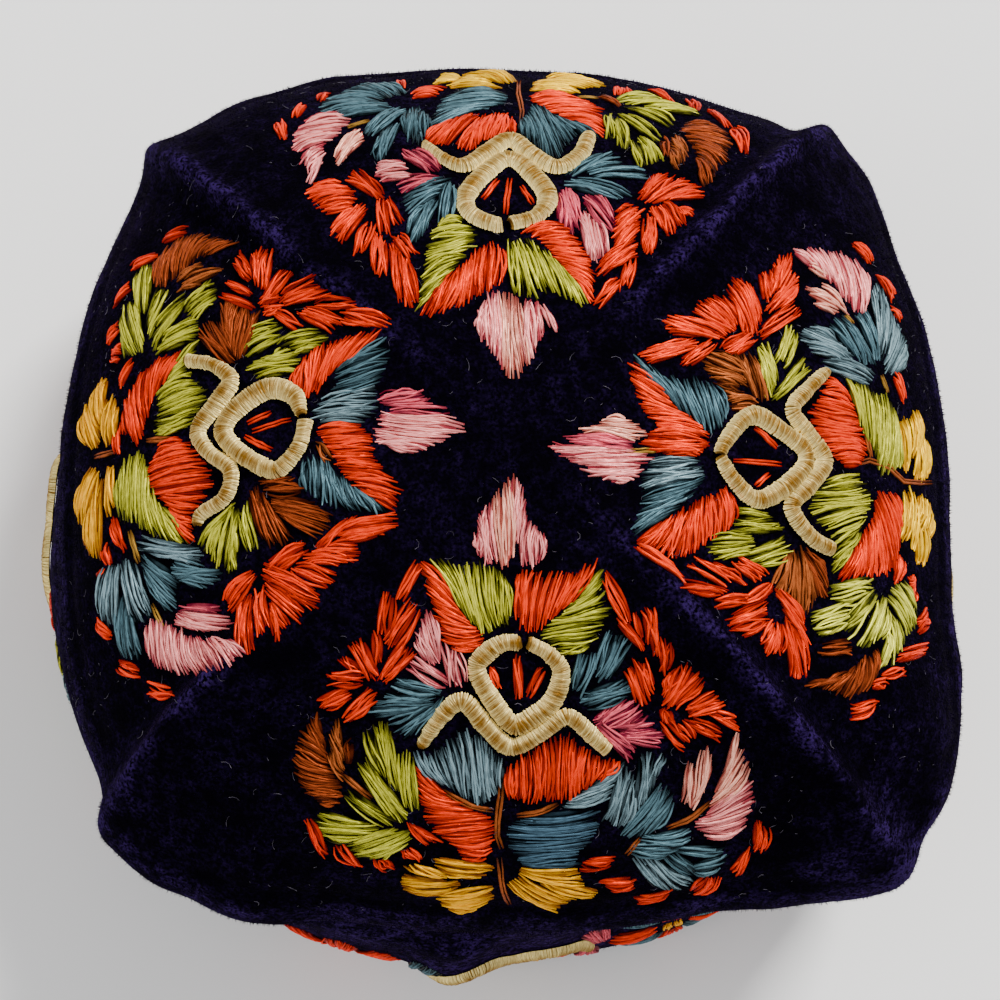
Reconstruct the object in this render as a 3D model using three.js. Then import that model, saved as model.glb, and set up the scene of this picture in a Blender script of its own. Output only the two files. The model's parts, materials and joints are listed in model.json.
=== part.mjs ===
// A four-sided skullcap (tubeteika) of embroidered velvet. Four gores are sewn along raised
// ridges into a domed crown with a pinched ear at each corner. A soft band hangs below the
// crown's seam and bulges to a crease in the middle of each side. Cream couched cords lie on
// every gore, a ring and a wave, and one more wave lies on each side of the band.
// Millimetres, +Z up, hem on Z = 0, front towards -Y.
import * as THREE from "three";

// Driving dimensions of the cap.
const SEAM_HEIGHT = 48; // hem to the seam that joins band and crown
const CROWN_RISE = 52; // seam to the top of the crown
const WALL = 2.2; // velvet, padding and backing together
const SEAM_GAP = 0.3; // clearance between pieces that are sewn together
const SIDE_BOW = 218; // plan radius of the bowed sides
const CORNER_SOFTNESS = 7; // how hard neighbouring sides meet: higher is sharper
const HEM_REACH = 88.5; // middle of the cap to the outside of the hem

// The crown's profile from top to seam is a superellipse with these powers across and down.
const PROFILE_ACROSS = 2.4;
const PROFILE_DOWN = 1.6;
const ROLL_START = 78 * (Math.PI / 180); // profile angle where the cloth starts to roll under
const ROLL_TUCK = 2; // how far the roll goes under at the seam

// Ridges: a pinched crest over each gore seam, with a shallow trough beside it.
const RIDGE_GROWTH = 1.4; // power by which a ridge rises from the top towards its ear
const RIDGE_PINCH = 1.6; // power of the crest: lower is sharper
const RIDGE_WIDTH = 6.5; // half width of a crest away from its ear
const EAR_START = 0.6; // share of the way out where a ridge starts to spread into its ear
const TROUGH_DEPTH = 1.8;
const FLANK_OFFSET = 17; // crest to the middle of a trough, or of a lobe at the rim
const FLANK_WIDTH = 9;

// The band: a soft crease stands out on each side, fullest above the middle of the band's height.
const CREASE_SOFTNESS = 4; // degrees over which the fold line is rounded
const CREASE_SPREAD = 45; // degrees from a fold line to where the bulge has died away
const BULGE_FULLEST = 0.85; // share of the bulge that the band reaches at its fullest level
const BULGE_LEVEL_POWER = 0.75; // below 1 lifts the fullest level towards the seam
const BULGE_AT_HEM = 0.25; // share of the bulge that is left at the hem
const BAND_ROLL = 0.12; // share of the band's height over which it rolls out below the seam

// One row for each side of the cap. reach is from the middle to the seam. bulge is how far the band
// stands out at its crease. crease, motif and wave are the azimuths of that crease, of the crown's
// needlework and of the band's cord. ring is the cloth distance from the top to the cord ring's middle.
const SIDES = [
  { name: "right", azimuth: 0, reach: 87, bulge: 4.5, crease: 352, motif: 357.5, wave: 357, ring: 44.2 },
  { name: "back", azimuth: 90, reach: 87.3, bulge: 4, crease: 93, motif: 91, wave: 91, ring: 46 },
  { name: "left", azimuth: 180, reach: 84.5, bulge: 4, crease: 187, motif: 178.5, wave: 181, ring: 42.6 },
  { name: "front", azimuth: 270, reach: 83, bulge: 1.6, crease: 266, motif: 272.5, wave: 273, ring: 42.2 },
];

// One row for each corner, anticlockwise from the back right. ear is the ridge's height at its ear. Its
// flanks, clockwise and anticlockwise, each have a half width and a lobe that puffs out beside the ear.
const CORNERS = [
  { azimuth: 49, ear: 4.7, clockwiseWidth: 9.7, clockwiseLobe: 1, antiWidth: 7.1, antiLobe: -0.4 },
  { azimuth: 135.7, ear: 4.3, clockwiseWidth: 8.5, clockwiseLobe: 1.5, antiWidth: 6.1, antiLobe: -0.5 },
  { azimuth: 222.6, ear: 5.2, clockwiseWidth: 6.2, clockwiseLobe: -0.4, antiWidth: 9.2, antiLobe: 1.7 },
  { azimuth: 315.8, ear: 8.4, clockwiseWidth: 9.1, clockwiseLobe: -0.8, antiWidth: 8.6, antiLobe: 7.4 },
];

// Couched cords. The section is a flat-bottomed hump.
const CORD_HEIGHT = 2;
const CORD_SHOULDER = 0.8; // share of the half width that the hump keeps at its shoulder
const CORD_SHOULDER_HEIGHT = 0.62; // share of the height at the shoulder
const CORD_LIFT = 0.3; // clearance under a cord
const CORD_STEPS = 24;

// Half of each cord, mirrored to make the whole. across is from the motif's middle line, out is along
// the cloth from the middle of the ring, up is from the hem, and width is the cord's own width there.
const RING_HALF = [
  { across: 1.4, out: -7.4, width: 3.6 },
  { across: 5.2, out: -5.4, width: 3.9 },
  { across: 7.2, out: -1, width: 4 },
  { across: 4.6, out: 3.6, width: 3.8 },
  { across: 0, out: 7.3, width: 3.4 },
];
const WAVE_HALF = [
  { across: 15.3, out: 13, width: 2.8 },
  { across: 12.8, out: 8.8, width: 3.5 },
  { across: 9, out: 6.2, width: 3.7 },
  { across: 4.6, out: 8.9, width: 3.6 },
  { across: 0, out: 12, width: 3.4 },
];
const BAND_WAVE_HALF = [
  { across: 18, up: 26, width: 2.8 },
  { across: 13.5, up: 32.5, width: 3.5 },
  { across: 9.5, up: 33.5, width: 3.7 },
  { across: 5, up: 29.5, width: 3.6 },
  { across: 0, up: 26.5, width: 3.4 },
];

// How finely the cloth is divided.
const GORE_COLUMNS = 26;
const BAND_COLUMNS = 88;
const PROFILE_ANGLES = [0, 14, 26, 37, 47, 56, 64, 71, 77, 82, 85.5, 88, 90];
const BAND_LEVELS = [0, 0.05, 0.14, 0.28, 0.45, 0.64, 0.83, 1];
const SLOPE_STEP = 0.004; // step for working out a surface's slope

const radians = (degrees) => (degrees * Math.PI) / 180;
const smoothStep = (low, high, x) => THREE.MathUtils.smoothstep(x, low, high);

/** The signed angle from one azimuth to another, between -180 and 180 degrees, in radians. */
function turn(from, to) {
  return Math.atan2(Math.sin(to - from), Math.cos(to - from));
}

/** Plan distance from the cap's middle to the seam: four bowed sides that meet in soft corners. */
function seamReach(azimuth) {
  let sum = 0;
  for (const side of SIDES) {
    const pastMiddle = SIDE_BOW - side.reach;
    const along = pastMiddle * Math.cos(azimuth - radians(side.azimuth));
    const reach = -along + Math.sqrt(along ** 2 + SIDE_BOW ** 2 - pastMiddle ** 2);
    sum += reach ** -CORNER_SOFTNESS;
  }
  return sum ** (-1 / CORNER_SOFTNESS);
}

/** How far a ridge lifts the cloth at a plan radius and azimuth, with the troughs and lobes beside it. */
function ridgeLift(azimuth, radius, share) {
  const rim = smoothStep(EAR_START, 1, share);
  let lift = 0;
  for (const corner of CORNERS) {
    const angle = turn(radians(corner.azimuth), azimuth);
    if (Math.abs(angle) > Math.PI / 2) continue;
    const aside = radius * Math.sin(angle);
    const earWidth = aside > 0 ? corner.antiWidth : corner.clockwiseWidth;
    const lobe = aside > 0 ? corner.antiLobe : corner.clockwiseLobe;
    const width = THREE.MathUtils.lerp(RIDGE_WIDTH, earWidth, rim);
    const crest = Math.exp(-((Math.abs(aside) / width) ** RIDGE_PINCH));
    const flank = Math.exp(-(((Math.abs(aside) - FLANK_OFFSET) / FLANK_WIDTH) ** 2));
    lift += share ** RIDGE_GROWTH * (corner.ear * crest - TROUGH_DEPTH * (1 - rim) * flank);
    lift += rim * lobe * flank;
  }
  return lift;
}

/** A point on the outside of the crown. The profile angle is 0 at the top and a right angle at the seam. */
function crownPoint(azimuth, angle) {
  const reach = seamReach(azimuth);
  const share = Math.sin(angle) ** (2 / PROFILE_ACROSS);
  const radius = reach * share;
  const height = SEAM_HEIGHT + CROWN_RISE * Math.cos(angle) ** (2 / PROFILE_DOWN);
  const lift = ridgeLift(azimuth, radius, share);
  const tuck = ROLL_TUCK * smoothStep(ROLL_START, Math.PI / 2, angle);
  const out = radius + lift * Math.sin(angle) - tuck;
  const up = height + lift * Math.cos(angle);
  return new THREE.Vector3(out * Math.cos(azimuth), out * Math.sin(azimuth), up);
}

/** The outward normal of a surface given as a function of two parameters. */
function normalAt(surface, u, v, step) {
  const alongU = surface(u + step, v).sub(surface(u - step, v));
  const alongV = surface(u, v + step).sub(surface(u, v - step));
  return alongU.cross(alongV).normalize();
}

/** A point on the inside of the crown, one wall in from crownPoint. */
function crownInside(azimuth, angle) {
  const outside = crownPoint(azimuth, angle);
  if (angle === 0) return outside.add(new THREE.Vector3(0, 0, -WALL));
  if (angle === Math.PI / 2) {
    const inward = new THREE.Vector3(-Math.cos(azimuth), -Math.sin(azimuth), 0);
    return outside.addScaledVector(inward, WALL);
  }
  const inward = normalAt((a, b) => crownPoint(b, a), angle, azimuth, SLOPE_STEP);
  return outside.addScaledVector(inward, -WALL);
}

/** How far the band stands out past its plain line at an azimuth: a soft crease on each side. */
function bandBulge(azimuth) {
  const softness = radians(CREASE_SOFTNESS);
  const bulges = SIDES.map((side) => {
    const angle = turn(radians(side.crease), azimuth);
    const away = (Math.hypot(angle, softness) - softness) / radians(CREASE_SPREAD);
    return side.bulge * (1 - away);
  });
  return Math.max(0, ...bulges);
}

/** A point on the outside of the band. level is 0 at the seam and 1 at the hem. */
function bandPoint(azimuth, level) {
  const seam = crownPoint(azimuth, Math.PI / 2);
  const bulge = bandBulge(azimuth);
  const hemOut = HEM_REACH + BULGE_AT_HEM * bulge;
  const raised = THREE.MathUtils.clamp(level, 0, 1) ** BULGE_LEVEL_POWER;
  const swell = BULGE_FULLEST * bulge * Math.sin(Math.PI * raised);
  const roll = ROLL_TUCK * smoothStep(0, BAND_ROLL, level) * (1 - level);
  const plain = THREE.MathUtils.lerp(Math.hypot(seam.x, seam.y), hemOut, smoothStep(0, 1, level));
  const out = plain + swell + roll;
  const up = (SEAM_HEIGHT - SEAM_GAP) * (1 - level);
  return new THREE.Vector3(out * Math.cos(azimuth), out * Math.sin(azimuth), up);
}

/** A point on the inside of the band, one wall in from bandPoint. */
function bandInside(azimuth, level) {
  const inward = new THREE.Vector3(-Math.cos(azimuth), -Math.sin(azimuth), 0);
  return bandPoint(azimuth, level).addScaledVector(inward, WALL);
}

/** A closed mesh geometry from points and triangles of point numbers. */
function closedGeometry(points, triangles) {
  const geometry = new THREE.BufferGeometry().setFromPoints(points);
  geometry.setIndex(triangles);
  geometry.computeVertexNormals();
  return geometry;
}

/** Two triangles for the four-cornered face a, b, c, d, given anticlockwise from outside. */
function quad(triangles, a, b, c, d) {
  triangles.push(a, b, c, a, c, d);
}

/** One gore of the crown: outer and inner cloth from ridge to ridge, closed at its two seams and its rim. */
function goreGeometry(firstRidge, lastRidge) {
  const points = [];
  const triangles = [];
  const rows = PROFILE_ANGLES.length;
  const columns = GORE_COLUMNS + 1;
  const perSide = 1 + (rows - 1) * columns;
  const at = (side, row, column) =>
    row === 0 ? side * perSide : side * perSide + 1 + (row - 1) * columns + column;
  for (const surface of [crownPoint, crownInside]) {
    points.push(surface(firstRidge, 0));
    for (const degrees of PROFILE_ANGLES.slice(1)) {
      for (let column = 0; column < columns; column++) {
        // Columns lie closer together beside the ridges than in the middle of the gore.
        const across = (2 * column) / GORE_COLUMNS - 1;
        const warped = 0.5 * across + 0.5 * Math.sin(across * (Math.PI / 2));
        const azimuth = THREE.MathUtils.mapLinear(warped, -1, 1, firstRidge, lastRidge);
        points.push(surface(azimuth, radians(degrees)));
      }
    }
  }
  for (let column = 0; column < GORE_COLUMNS; column++) {
    triangles.push(at(0, 0, 0), at(0, 1, column), at(0, 1, column + 1));
    triangles.push(at(1, 0, 0), at(1, 1, column + 1), at(1, 1, column));
    const next = column + 1;
    for (let row = 1; row < rows - 1; row++) {
      const below = row + 1;
      quad(triangles, at(0, row, column), at(0, below, column), at(0, below, next), at(0, row, next));
      quad(triangles, at(1, row, column), at(1, row, next), at(1, below, next), at(1, below, column));
    }
    const rim = rows - 1;
    quad(triangles, at(0, rim, column), at(1, rim, column), at(1, rim, next), at(0, rim, next));
  }
  for (let row = 0; row < rows - 1; row++) {
    const last = GORE_COLUMNS;
    if (row === 0) {
      quad(triangles, at(0, 0, 0), at(1, 0, 0), at(1, 1, 0), at(0, 1, 0));
      quad(triangles, at(0, 0, 0), at(0, 1, last), at(1, 1, last), at(1, 0, 0));
    } else {
      quad(triangles, at(0, row, 0), at(1, row, 0), at(1, row + 1, 0), at(0, row + 1, 0));
      quad(triangles, at(0, row, last), at(0, row + 1, last), at(1, row + 1, last), at(1, row, last));
    }
  }
  return closedGeometry(points, triangles);
}

/** The band: a ring of cloth with a flat rim at the seam and a flat hem. */
function bandGeometry() {
  const points = [];
  const triangles = [];
  const rows = BAND_LEVELS.length;
  const at = (side, row, column) => (side * rows + row) * BAND_COLUMNS + (column % BAND_COLUMNS);
  for (const surface of [bandPoint, bandInside]) {
    for (const level of BAND_LEVELS) {
      for (let column = 0; column < BAND_COLUMNS; column++) {
        points.push(surface((2 * Math.PI * column) / BAND_COLUMNS, level));
      }
    }
  }
  for (let column = 0; column < BAND_COLUMNS; column++) {
    const next = column + 1;
    for (let row = 0; row < rows - 1; row++) {
      quad(triangles, at(0, row, column), at(0, row + 1, column), at(0, row + 1, next), at(0, row, next));
      quad(triangles, at(1, row, column), at(1, row, next), at(1, row + 1, next), at(1, row + 1, column));
    }
    const hem = rows - 1;
    quad(triangles, at(0, 0, column), at(0, 0, next), at(1, 0, next), at(1, 0, column));
    quad(triangles, at(0, hem, column), at(1, hem, column), at(1, hem, next), at(0, hem, next));
  }
  return closedGeometry(points, triangles);
}

/** A smooth open line through a half table and its mirror image, as { across, length, width } spots. */
function mirroredLine(half, lengthKey) {
  const right = half.map((row) => new THREE.Vector3(row.across, row[lengthKey], row.width));
  const left = right
    .slice(0, -1)
    .reverse()
    .map((spot) => new THREE.Vector3(-spot.x, spot.y, spot.z));
  const line = new THREE.CatmullRomCurve3([...right, ...left], false, "catmullrom", 0.5);
  return line.getSpacedPoints(CORD_STEPS).map(({ x, y, z }) => ({ across: x, length: y, width: z }));
}

/** Cloth distances from the top down the middle of a gore, for turning a length into an angle. */
function middleLine(middle) {
  const steps = 180;
  const line = [{ angle: 0, length: 0 }];
  let before = crownPoint(middle, 0);
  for (let step = 1; step <= steps; step++) {
    const angle = (step / steps) * (Math.PI / 2);
    const here = crownPoint(middle, angle);
    line.push({ angle, length: line.at(-1).length + here.distanceTo(before) });
    before = here;
  }
  return line;
}

/** The profile angle at a cloth distance from the top. */
function angleAtLength(line, length) {
  const next = line.findIndex((row) => row.length >= length);
  const [a, b] = [line[next - 1], line[next]];
  return THREE.MathUtils.mapLinear(length, a.length, b.length, a.angle, b.angle);
}

/** A place for a cord on a gore, from distances across its middle line and out from the top. */
function placeOnGore(middle, line, across, out, width) {
  const onMiddle = crownPoint(middle, angleAtLength(line, out));
  const forward = Math.hypot(onMiddle.x, onMiddle.y);
  const azimuth = middle + Math.atan2(across, forward);
  const share = Math.hypot(across, forward) / seamReach(azimuth);
  const angle = Math.asin(share ** (PROFILE_ACROSS / 2));
  return {
    point: crownPoint(azimuth, angle),
    normal: normalAt((a, b) => crownPoint(b, a), angle, azimuth, SLOPE_STEP),
    width,
  };
}

/** A place for a cord on the band, from a distance across its middle azimuth and a height over the hem. */
function placeOnBand(middle, across, up, width) {
  const level = 1 - up / (SEAM_HEIGHT - SEAM_GAP);
  const azimuth = middle + across / HEM_REACH;
  return {
    point: bandPoint(azimuth, level),
    normal: normalAt((a, b) => bandPoint(b, a), level, azimuth, SLOPE_STEP),
    width,
  };
}

/** The outline of a cord of a given width, in steps sideways and up from the cloth. */
function cordSection(width) {
  const half = width / 2;
  const shoulder = CORD_SHOULDER * half;
  return [
    [-half, 0],
    [half, 0],
    [shoulder, CORD_SHOULDER_HEIGHT * CORD_HEIGHT],
    [0, CORD_HEIGHT],
    [-shoulder, CORD_SHOULDER_HEIGHT * CORD_HEIGHT],
  ];
}

/** A cord that lies on cloth: its section carried along places on the cloth, with closed ends. */
function cordGeometry(places) {
  const points = [];
  const triangles = [];
  const last = places.length - 1;
  places.forEach(({ point, normal, width }, index) => {
    const before = places[Math.max(index - 1, 0)].point;
    const after = places[Math.min(index + 1, last)].point;
    const along = after.clone().sub(before).normalize();
    const aside = normal.clone().cross(along).normalize();
    for (const [sideways, up] of cordSection(width)) {
      points.push(
        point.clone().addScaledVector(aside, sideways).addScaledVector(normal, CORD_LIFT + up),
      );
    }
  });
  const sides = cordSection(1).length;
  for (let index = 0; index < last; index++) {
    for (let side = 0; side < sides; side++) {
      const next = (side + 1) % sides;
      const here = index * sides;
      const there = here + sides;
      quad(triangles, here + side, here + next, there + next, there + side);
    }
  }
  for (let side = 1; side < sides - 1; side++) {
    triangles.push(0, side + 1, side);
    triangles.push(last * sides, last * sides + side, last * sides + side + 1);
  }
  return closedGeometry(points, triangles);
}

/** A named mesh in its own material. */
function piece(name, geometry, material) {
  const mesh = new THREE.Mesh(geometry, material);
  mesh.name = name;
  return mesh;
}

const velvet = () => new THREE.MeshStandardMaterial({ color: 0x1c1233, roughness: 0.95, metalness: 0 });
const silk = () => new THREE.MeshStandardMaterial({ color: 0xe3cf9d, roughness: 0.45, metalness: 0 });

const cap = new THREE.Group();
cap.add(piece("band", bandGeometry(), velvet()));
SIDES.forEach((side, index) => {
  const firstRidge = radians(CORNERS.at(index - 1).azimuth - (index === 0 ? 360 : 0));
  const lastRidge = radians(CORNERS[index].azimuth);
  const motif = radians(side.motif);
  const line = middleLine(motif);
  const onGore = (spot) => placeOnGore(motif, line, spot.across, side.ring + spot.length, spot.width);
  const onBand = (spot) => placeOnBand(radians(side.wave), spot.across, spot.length, spot.width);
  const ring = mirroredLine(RING_HALF, "out").map(onGore);
  const wave = mirroredLine(WAVE_HALF, "out").map(onGore);
  const bandWave = mirroredLine(BAND_WAVE_HALF, "up").map(onBand);
  // Each gore stands out from its neighbours by the gap of the ridge seams.
  const gore = new THREE.Group();
  const middle = (firstRidge + lastRidge) / 2;
  gore.position.set(Math.cos(middle), Math.sin(middle), 0).multiplyScalar(SEAM_GAP * Math.SQRT1_2);
  gore.add(piece(`gore_${side.name}`, goreGeometry(firstRidge, lastRidge), velvet()));
  gore.add(piece(`ring_cord_${side.name}`, cordGeometry(ring), silk()));
  gore.add(piece(`wave_cord_${side.name}`, cordGeometry(wave), silk()));
  cap.add(gore);
  cap.add(piece(`band_cord_${side.name}`, cordGeometry(bandWave), silk()));
});

// The frame's origin is under the middle of the cap's box, on the hem.
const box = new THREE.Box3().setFromObject(cap);
const centre = box.getCenter(new THREE.Vector3());
cap.position.set(-centre.x, -centre.y, -box.min.z);
const part = new THREE.Group();
part.add(cap);

export default part;
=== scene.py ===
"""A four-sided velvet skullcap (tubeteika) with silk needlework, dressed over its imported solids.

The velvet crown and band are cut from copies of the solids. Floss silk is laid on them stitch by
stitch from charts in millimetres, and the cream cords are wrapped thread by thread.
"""
import json
import logging
import math
from dataclasses import dataclass, field
from enum import Enum
from typing import Callable, Sequence

import bpy
import numpy as np
from bpy.types import Material, Mesh, Node, NodeSocket, NodeTree, Object
from mathutils import Matrix, Vector
from mathutils.bvhtree import BVHTree

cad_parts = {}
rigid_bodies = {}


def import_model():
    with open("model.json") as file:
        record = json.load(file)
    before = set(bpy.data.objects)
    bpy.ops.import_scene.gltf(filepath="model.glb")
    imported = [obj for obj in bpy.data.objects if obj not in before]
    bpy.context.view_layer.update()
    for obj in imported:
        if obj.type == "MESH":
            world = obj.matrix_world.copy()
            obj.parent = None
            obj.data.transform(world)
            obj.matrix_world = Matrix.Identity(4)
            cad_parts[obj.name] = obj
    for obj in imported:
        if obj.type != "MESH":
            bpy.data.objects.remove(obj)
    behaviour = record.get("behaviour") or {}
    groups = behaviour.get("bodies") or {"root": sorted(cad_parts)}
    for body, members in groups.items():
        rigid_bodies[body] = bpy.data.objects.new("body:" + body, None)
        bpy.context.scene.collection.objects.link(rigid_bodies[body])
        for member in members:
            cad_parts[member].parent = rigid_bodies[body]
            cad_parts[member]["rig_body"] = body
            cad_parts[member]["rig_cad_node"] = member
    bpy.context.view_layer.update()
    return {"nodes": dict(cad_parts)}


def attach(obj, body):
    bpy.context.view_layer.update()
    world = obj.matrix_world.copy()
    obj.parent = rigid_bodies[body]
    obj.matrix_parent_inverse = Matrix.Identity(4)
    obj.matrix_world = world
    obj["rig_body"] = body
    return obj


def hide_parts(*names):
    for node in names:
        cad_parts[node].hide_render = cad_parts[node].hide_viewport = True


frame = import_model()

log = logging.getLogger("tubeteika")

MM = 0.001
BODY = "root"
# The crown's top seen from above, a height inside the cap and the hem's radius, in millimetres.
APEX = (-0.947, -2.259)
INSIDE_MM = 30.0
BAND_RADIUS_MM = 88.5
# A distance in metres from which every part of the cap is reached.
CLEAR_OF_CAP = 0.2
# Added to a length before a division, so that it is never zero.
TINY = 1e-12
Array = np.ndarray
Pair = tuple[float, float]
Spots = Sequence[Pair]
Place = tuple[float, float, float]


class Slot(Enum):
    """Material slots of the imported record."""

    VELVET = "velvet"
    SILK = "silk_thread"


class Thread(Enum):
    """Skeins of floss silk, each with a darker and a lighter colour as sRGB hex values, mixed by a tone that
    carries painted highlight and painted shade.
    """

    RED = ("#780c00", "#fc3c06")
    GREEN = ("#0a0a00", "#c2bf3c")
    LIME = ("#222402", "#e2e052")
    BLUE = ("#060e12", "#7e989e")
    SLATE = ("#040a0e", "#54727a")
    STEEL = ("#03070c", "#486474")
    PINK = ("#8a2c36", "#ffa099")
    ROSE = ("#560a20", "#e45e6c")
    BLUSH = ("#8a3a32", "#ffb49a")
    YELLOW = ("#7a4000", "#ffba06")
    LEMON = ("#946000", "#fcca00")
    BROWN = ("#2c0e06", "#ae5a2a")
    RUST = ("#280a04", "#98421e")
    TAN = ("#46290a", "#a07830")
    CREAM = ("#724c12", "#ffe896")
    STRAY = ("#2c2832", "#7a7480")

    @property
    def finish_name(self) -> str:
        """The name of the skein's finish."""
        return f"floss_silk_{self.name.lower()}"


@dataclass(frozen=True)
class Petal:
    """One patch of satin stitch: threads run from points along one edge to points along the other."""

    thread: Thread
    start: Spots
    end: Spots


@dataclass(frozen=True)
class Stem:
    """A line of thin thread laid along a path."""

    thread: Thread
    path: Spots
    strands: int = 2


def linear(hex_colour: str) -> tuple[float, float, float, float]:
    """Turn an sRGB hex colour into linear RGBA.

    Args:
        hex_colour: Colour such as "#1a2b3c".

    Returns:
        Linear red, green, blue and an alpha of 1.
    """
    parts = [int(hex_colour[i : i + 2], 16) / 255 for i in (1, 3, 5)]
    red, green, blue = (c / 12.92 if c <= 0.04045 else ((c + 0.055) / 1.055) ** 2.4 for c in parts)
    return red, green, blue, 1.0


def feed(tree: NodeTree, node: Node, values: dict) -> None:
    """Set the inputs of a node.

    Args:
        tree: Node tree that holds the node.
        node: Node to set.
        values: Input name or number, to a constant value or to an output socket that feeds it.
    """
    for key, value in values.items():
        if isinstance(value, NodeSocket):
            tree.links.new(value, node.inputs[key])
        else:
            node.inputs[key].default_value = value


def add_node(tree: NodeTree, kind: str, values: dict | None = None, **settings: object) -> Node:
    """Add a node with its settings, socket values and incoming links.

    Args:
        tree: Node tree that gets the node.
        kind: Node type, such as "ShaderNodeTexNoise".
        values: Its inputs, as feed takes them.
        settings: Attributes of the node itself.

    Returns:
        The new node.
    """
    node = tree.nodes.new(kind)
    for name, value in settings.items():
        setattr(node, name, value)
    feed(tree, node, values or {})
    return node


def start_finish(name: str) -> tuple[Material, NodeTree, Node]:
    """Start a material.

    Args:
        name: Name of the finish.

    Returns:
        The material, its node tree and its shader.
    """
    material = bpy.data.materials.new(name)
    material.use_nodes = True
    return material, material.node_tree, material.node_tree.nodes["Principled BSDF"]


def pick(obj: Object) -> None:
    """Leave edit mode and make one object the only selected and active one.

    Args:
        obj: Object to pick.
    """
    if bpy.context.object and bpy.context.object.mode != "OBJECT":
        bpy.ops.object.mode_set(mode="OBJECT")
    bpy.ops.object.select_all(action="DESELECT")
    obj.select_set(True)
    bpy.context.view_layer.objects.active = obj


def edit_all(obj: Object, *steps: Callable[[], object]) -> None:
    """Run edit-mode steps on the whole of an object.

    Args:
        obj: Object to edit.
        steps: Calls to run one after the other, with everything selected.
    """
    pick(obj)
    bpy.ops.object.mode_set(mode="EDIT")
    for step in steps:
        bpy.ops.mesh.select_all(action="SELECT")
        step()
    bpy.ops.object.mode_set(mode="OBJECT")


def copy_node(name: str, new_name: str, merge_mm: float = 0.02) -> Object:
    """Copy a solid of the frame with its own mesh, merged into one skin.

    Args:
        name: Node of the frame.
        new_name: Name of the copy.
        merge_mm: Distance within which its corners are one.

    Returns:
        The copy, which stands free of the frame.
    """
    pick(frame["nodes"][name])
    bpy.ops.object.duplicate()
    copy = bpy.context.object
    copy.name = new_name
    copy.data.name = new_name
    copy.parent = None
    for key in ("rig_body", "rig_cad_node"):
        del copy[key]
    copy.data.materials.clear()
    edit_all(copy, lambda: bpy.ops.mesh.remove_doubles(threshold=merge_mm * MM))
    return copy


def shade_smooth(obj: Object) -> None:
    """Smooth the shading of an object."""
    pick(obj)
    bpy.ops.object.shade_smooth()


def settle(obj: Object, slot: Slot, *stands_for: str) -> None:
    """Let a finished piece ride on the cap and hide the nodes that it replaces.

    Args:
        obj: Finished piece.
        slot: Material slot of the record; not used.
        stands_for: Nodes of the frame that it replaces.
    """
    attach(obj, BODY)
    if stands_for:
        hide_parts(*stands_for)
    triangles = sum(len(face.vertices) - 2 for face in obj.data.polygons)
    log.info("%s: %d triangles", obj.name, triangles)


def vertex_table(mesh: Mesh, name: str = "co") -> Array:
    """Read a vector of each vertex.

    Args:
        mesh: Mesh to read.
        name: Which vector, "co" for places or "normal".

    Returns:
        One row for each vertex.
    """
    table = np.empty((len(mesh.vertices), 3))
    mesh.vertices.foreach_get(name, table.ravel())
    return table


def move_vertices(mesh: Mesh, spots: Array) -> None:
    """Put every vertex of a mesh in a new place."""
    mesh.vertices.foreach_set("co", spots.ravel())
    mesh.update()


def keep_values(mesh: Mesh, name: str, values: Array) -> None:
    """Keep a share from 0 to 1 for each vertex, which a finish reads by name.

    Args:
        mesh: Mesh that keeps the shares.
        name: Name of the attribute.
        values: One value for each vertex.
    """
    layer = mesh.attributes.new(name, "FLOAT", "POINT")
    layer.data.foreach_set("value", np.clip(values, 0, 1).astype(np.float32))
    mesh.update()


def mesh_of(name: str, points: Array, corners: Array, starts: Array) -> Mesh:
    """Make a mesh from tables.

    Args:
        name: Name of the mesh.
        points: Places of the vertices in metres, three values in the last axis.
        corners: Vertex numbers of all faces, one face after the other.
        starts: Place in corners where each face starts.

    Returns:
        The mesh.
    """
    mesh = bpy.data.meshes.new(name)
    mesh.vertices.add(points.size // 3)
    mesh.vertices.foreach_set("co", points.astype(np.float32).ravel())
    mesh.loops.add(len(corners))
    mesh.loops.foreach_set("vertex_index", corners.astype(np.int32))
    mesh.polygons.add(len(starts))
    mesh.polygons.foreach_set("loop_start", starts.astype(np.int32))
    mesh.update(calc_edges=True)
    return mesh


def show(mesh: Mesh) -> Object:
    """Put a mesh into the scene.

    Args:
        mesh: Mesh to show.

    Returns:
        A smooth object of the same name.
    """
    obj = bpy.data.objects.new(mesh.name, mesh)
    bpy.context.scene.collection.objects.link(obj)
    shade_smooth(obj)
    return obj


def surface_tree(obj: Object) -> BVHTree:
    """Give a search tree of an object's faces."""
    return BVHTree.FromObject(obj, bpy.context.evaluated_depsgraph_get())


def on_axis(height_mm: float) -> Array:
    """Give the place straight under the crown's top at a height, in metres."""
    return np.array([*APEX, height_mm]) * MM


def unit(vectors: Array) -> Array:
    """Scale the vectors in the last axis to a length of 1."""
    return vectors / (np.linalg.norm(vectors, axis=-1, keepdims=True) + TINY)


def turned_left(runs: Array) -> Array:
    """Turn chart directions a quarter turn, one row each."""
    return np.stack([-runs[:, 1], runs[:, 0]], axis=1)


def ramp(low: float, high: float, value: Array) -> Array:
    """Rise smoothly from 0 at low to 1 at high."""
    share = np.clip((value - low) / (high - low), 0, 1)
    return share * share * (3 - 2 * share)


def bell(away: Array, width: float) -> Array:
    """Fall smoothly from 1 at no distance to almost nothing at two widths."""
    return np.exp(-((away / width) ** 2))


def lengths_along(lines: Array) -> Array:
    """Measure lines.

    Args:
        lines: Points of one or more lines, with the points in the last axis but one.

    Returns:
        Distance along its line from the start to each point.
    """
    steps = np.linalg.norm(np.diff(lines, axis=-2), axis=-1)
    return np.concatenate([np.zeros_like(steps[..., :1]), np.cumsum(steps, axis=-1)], axis=-1)


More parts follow.
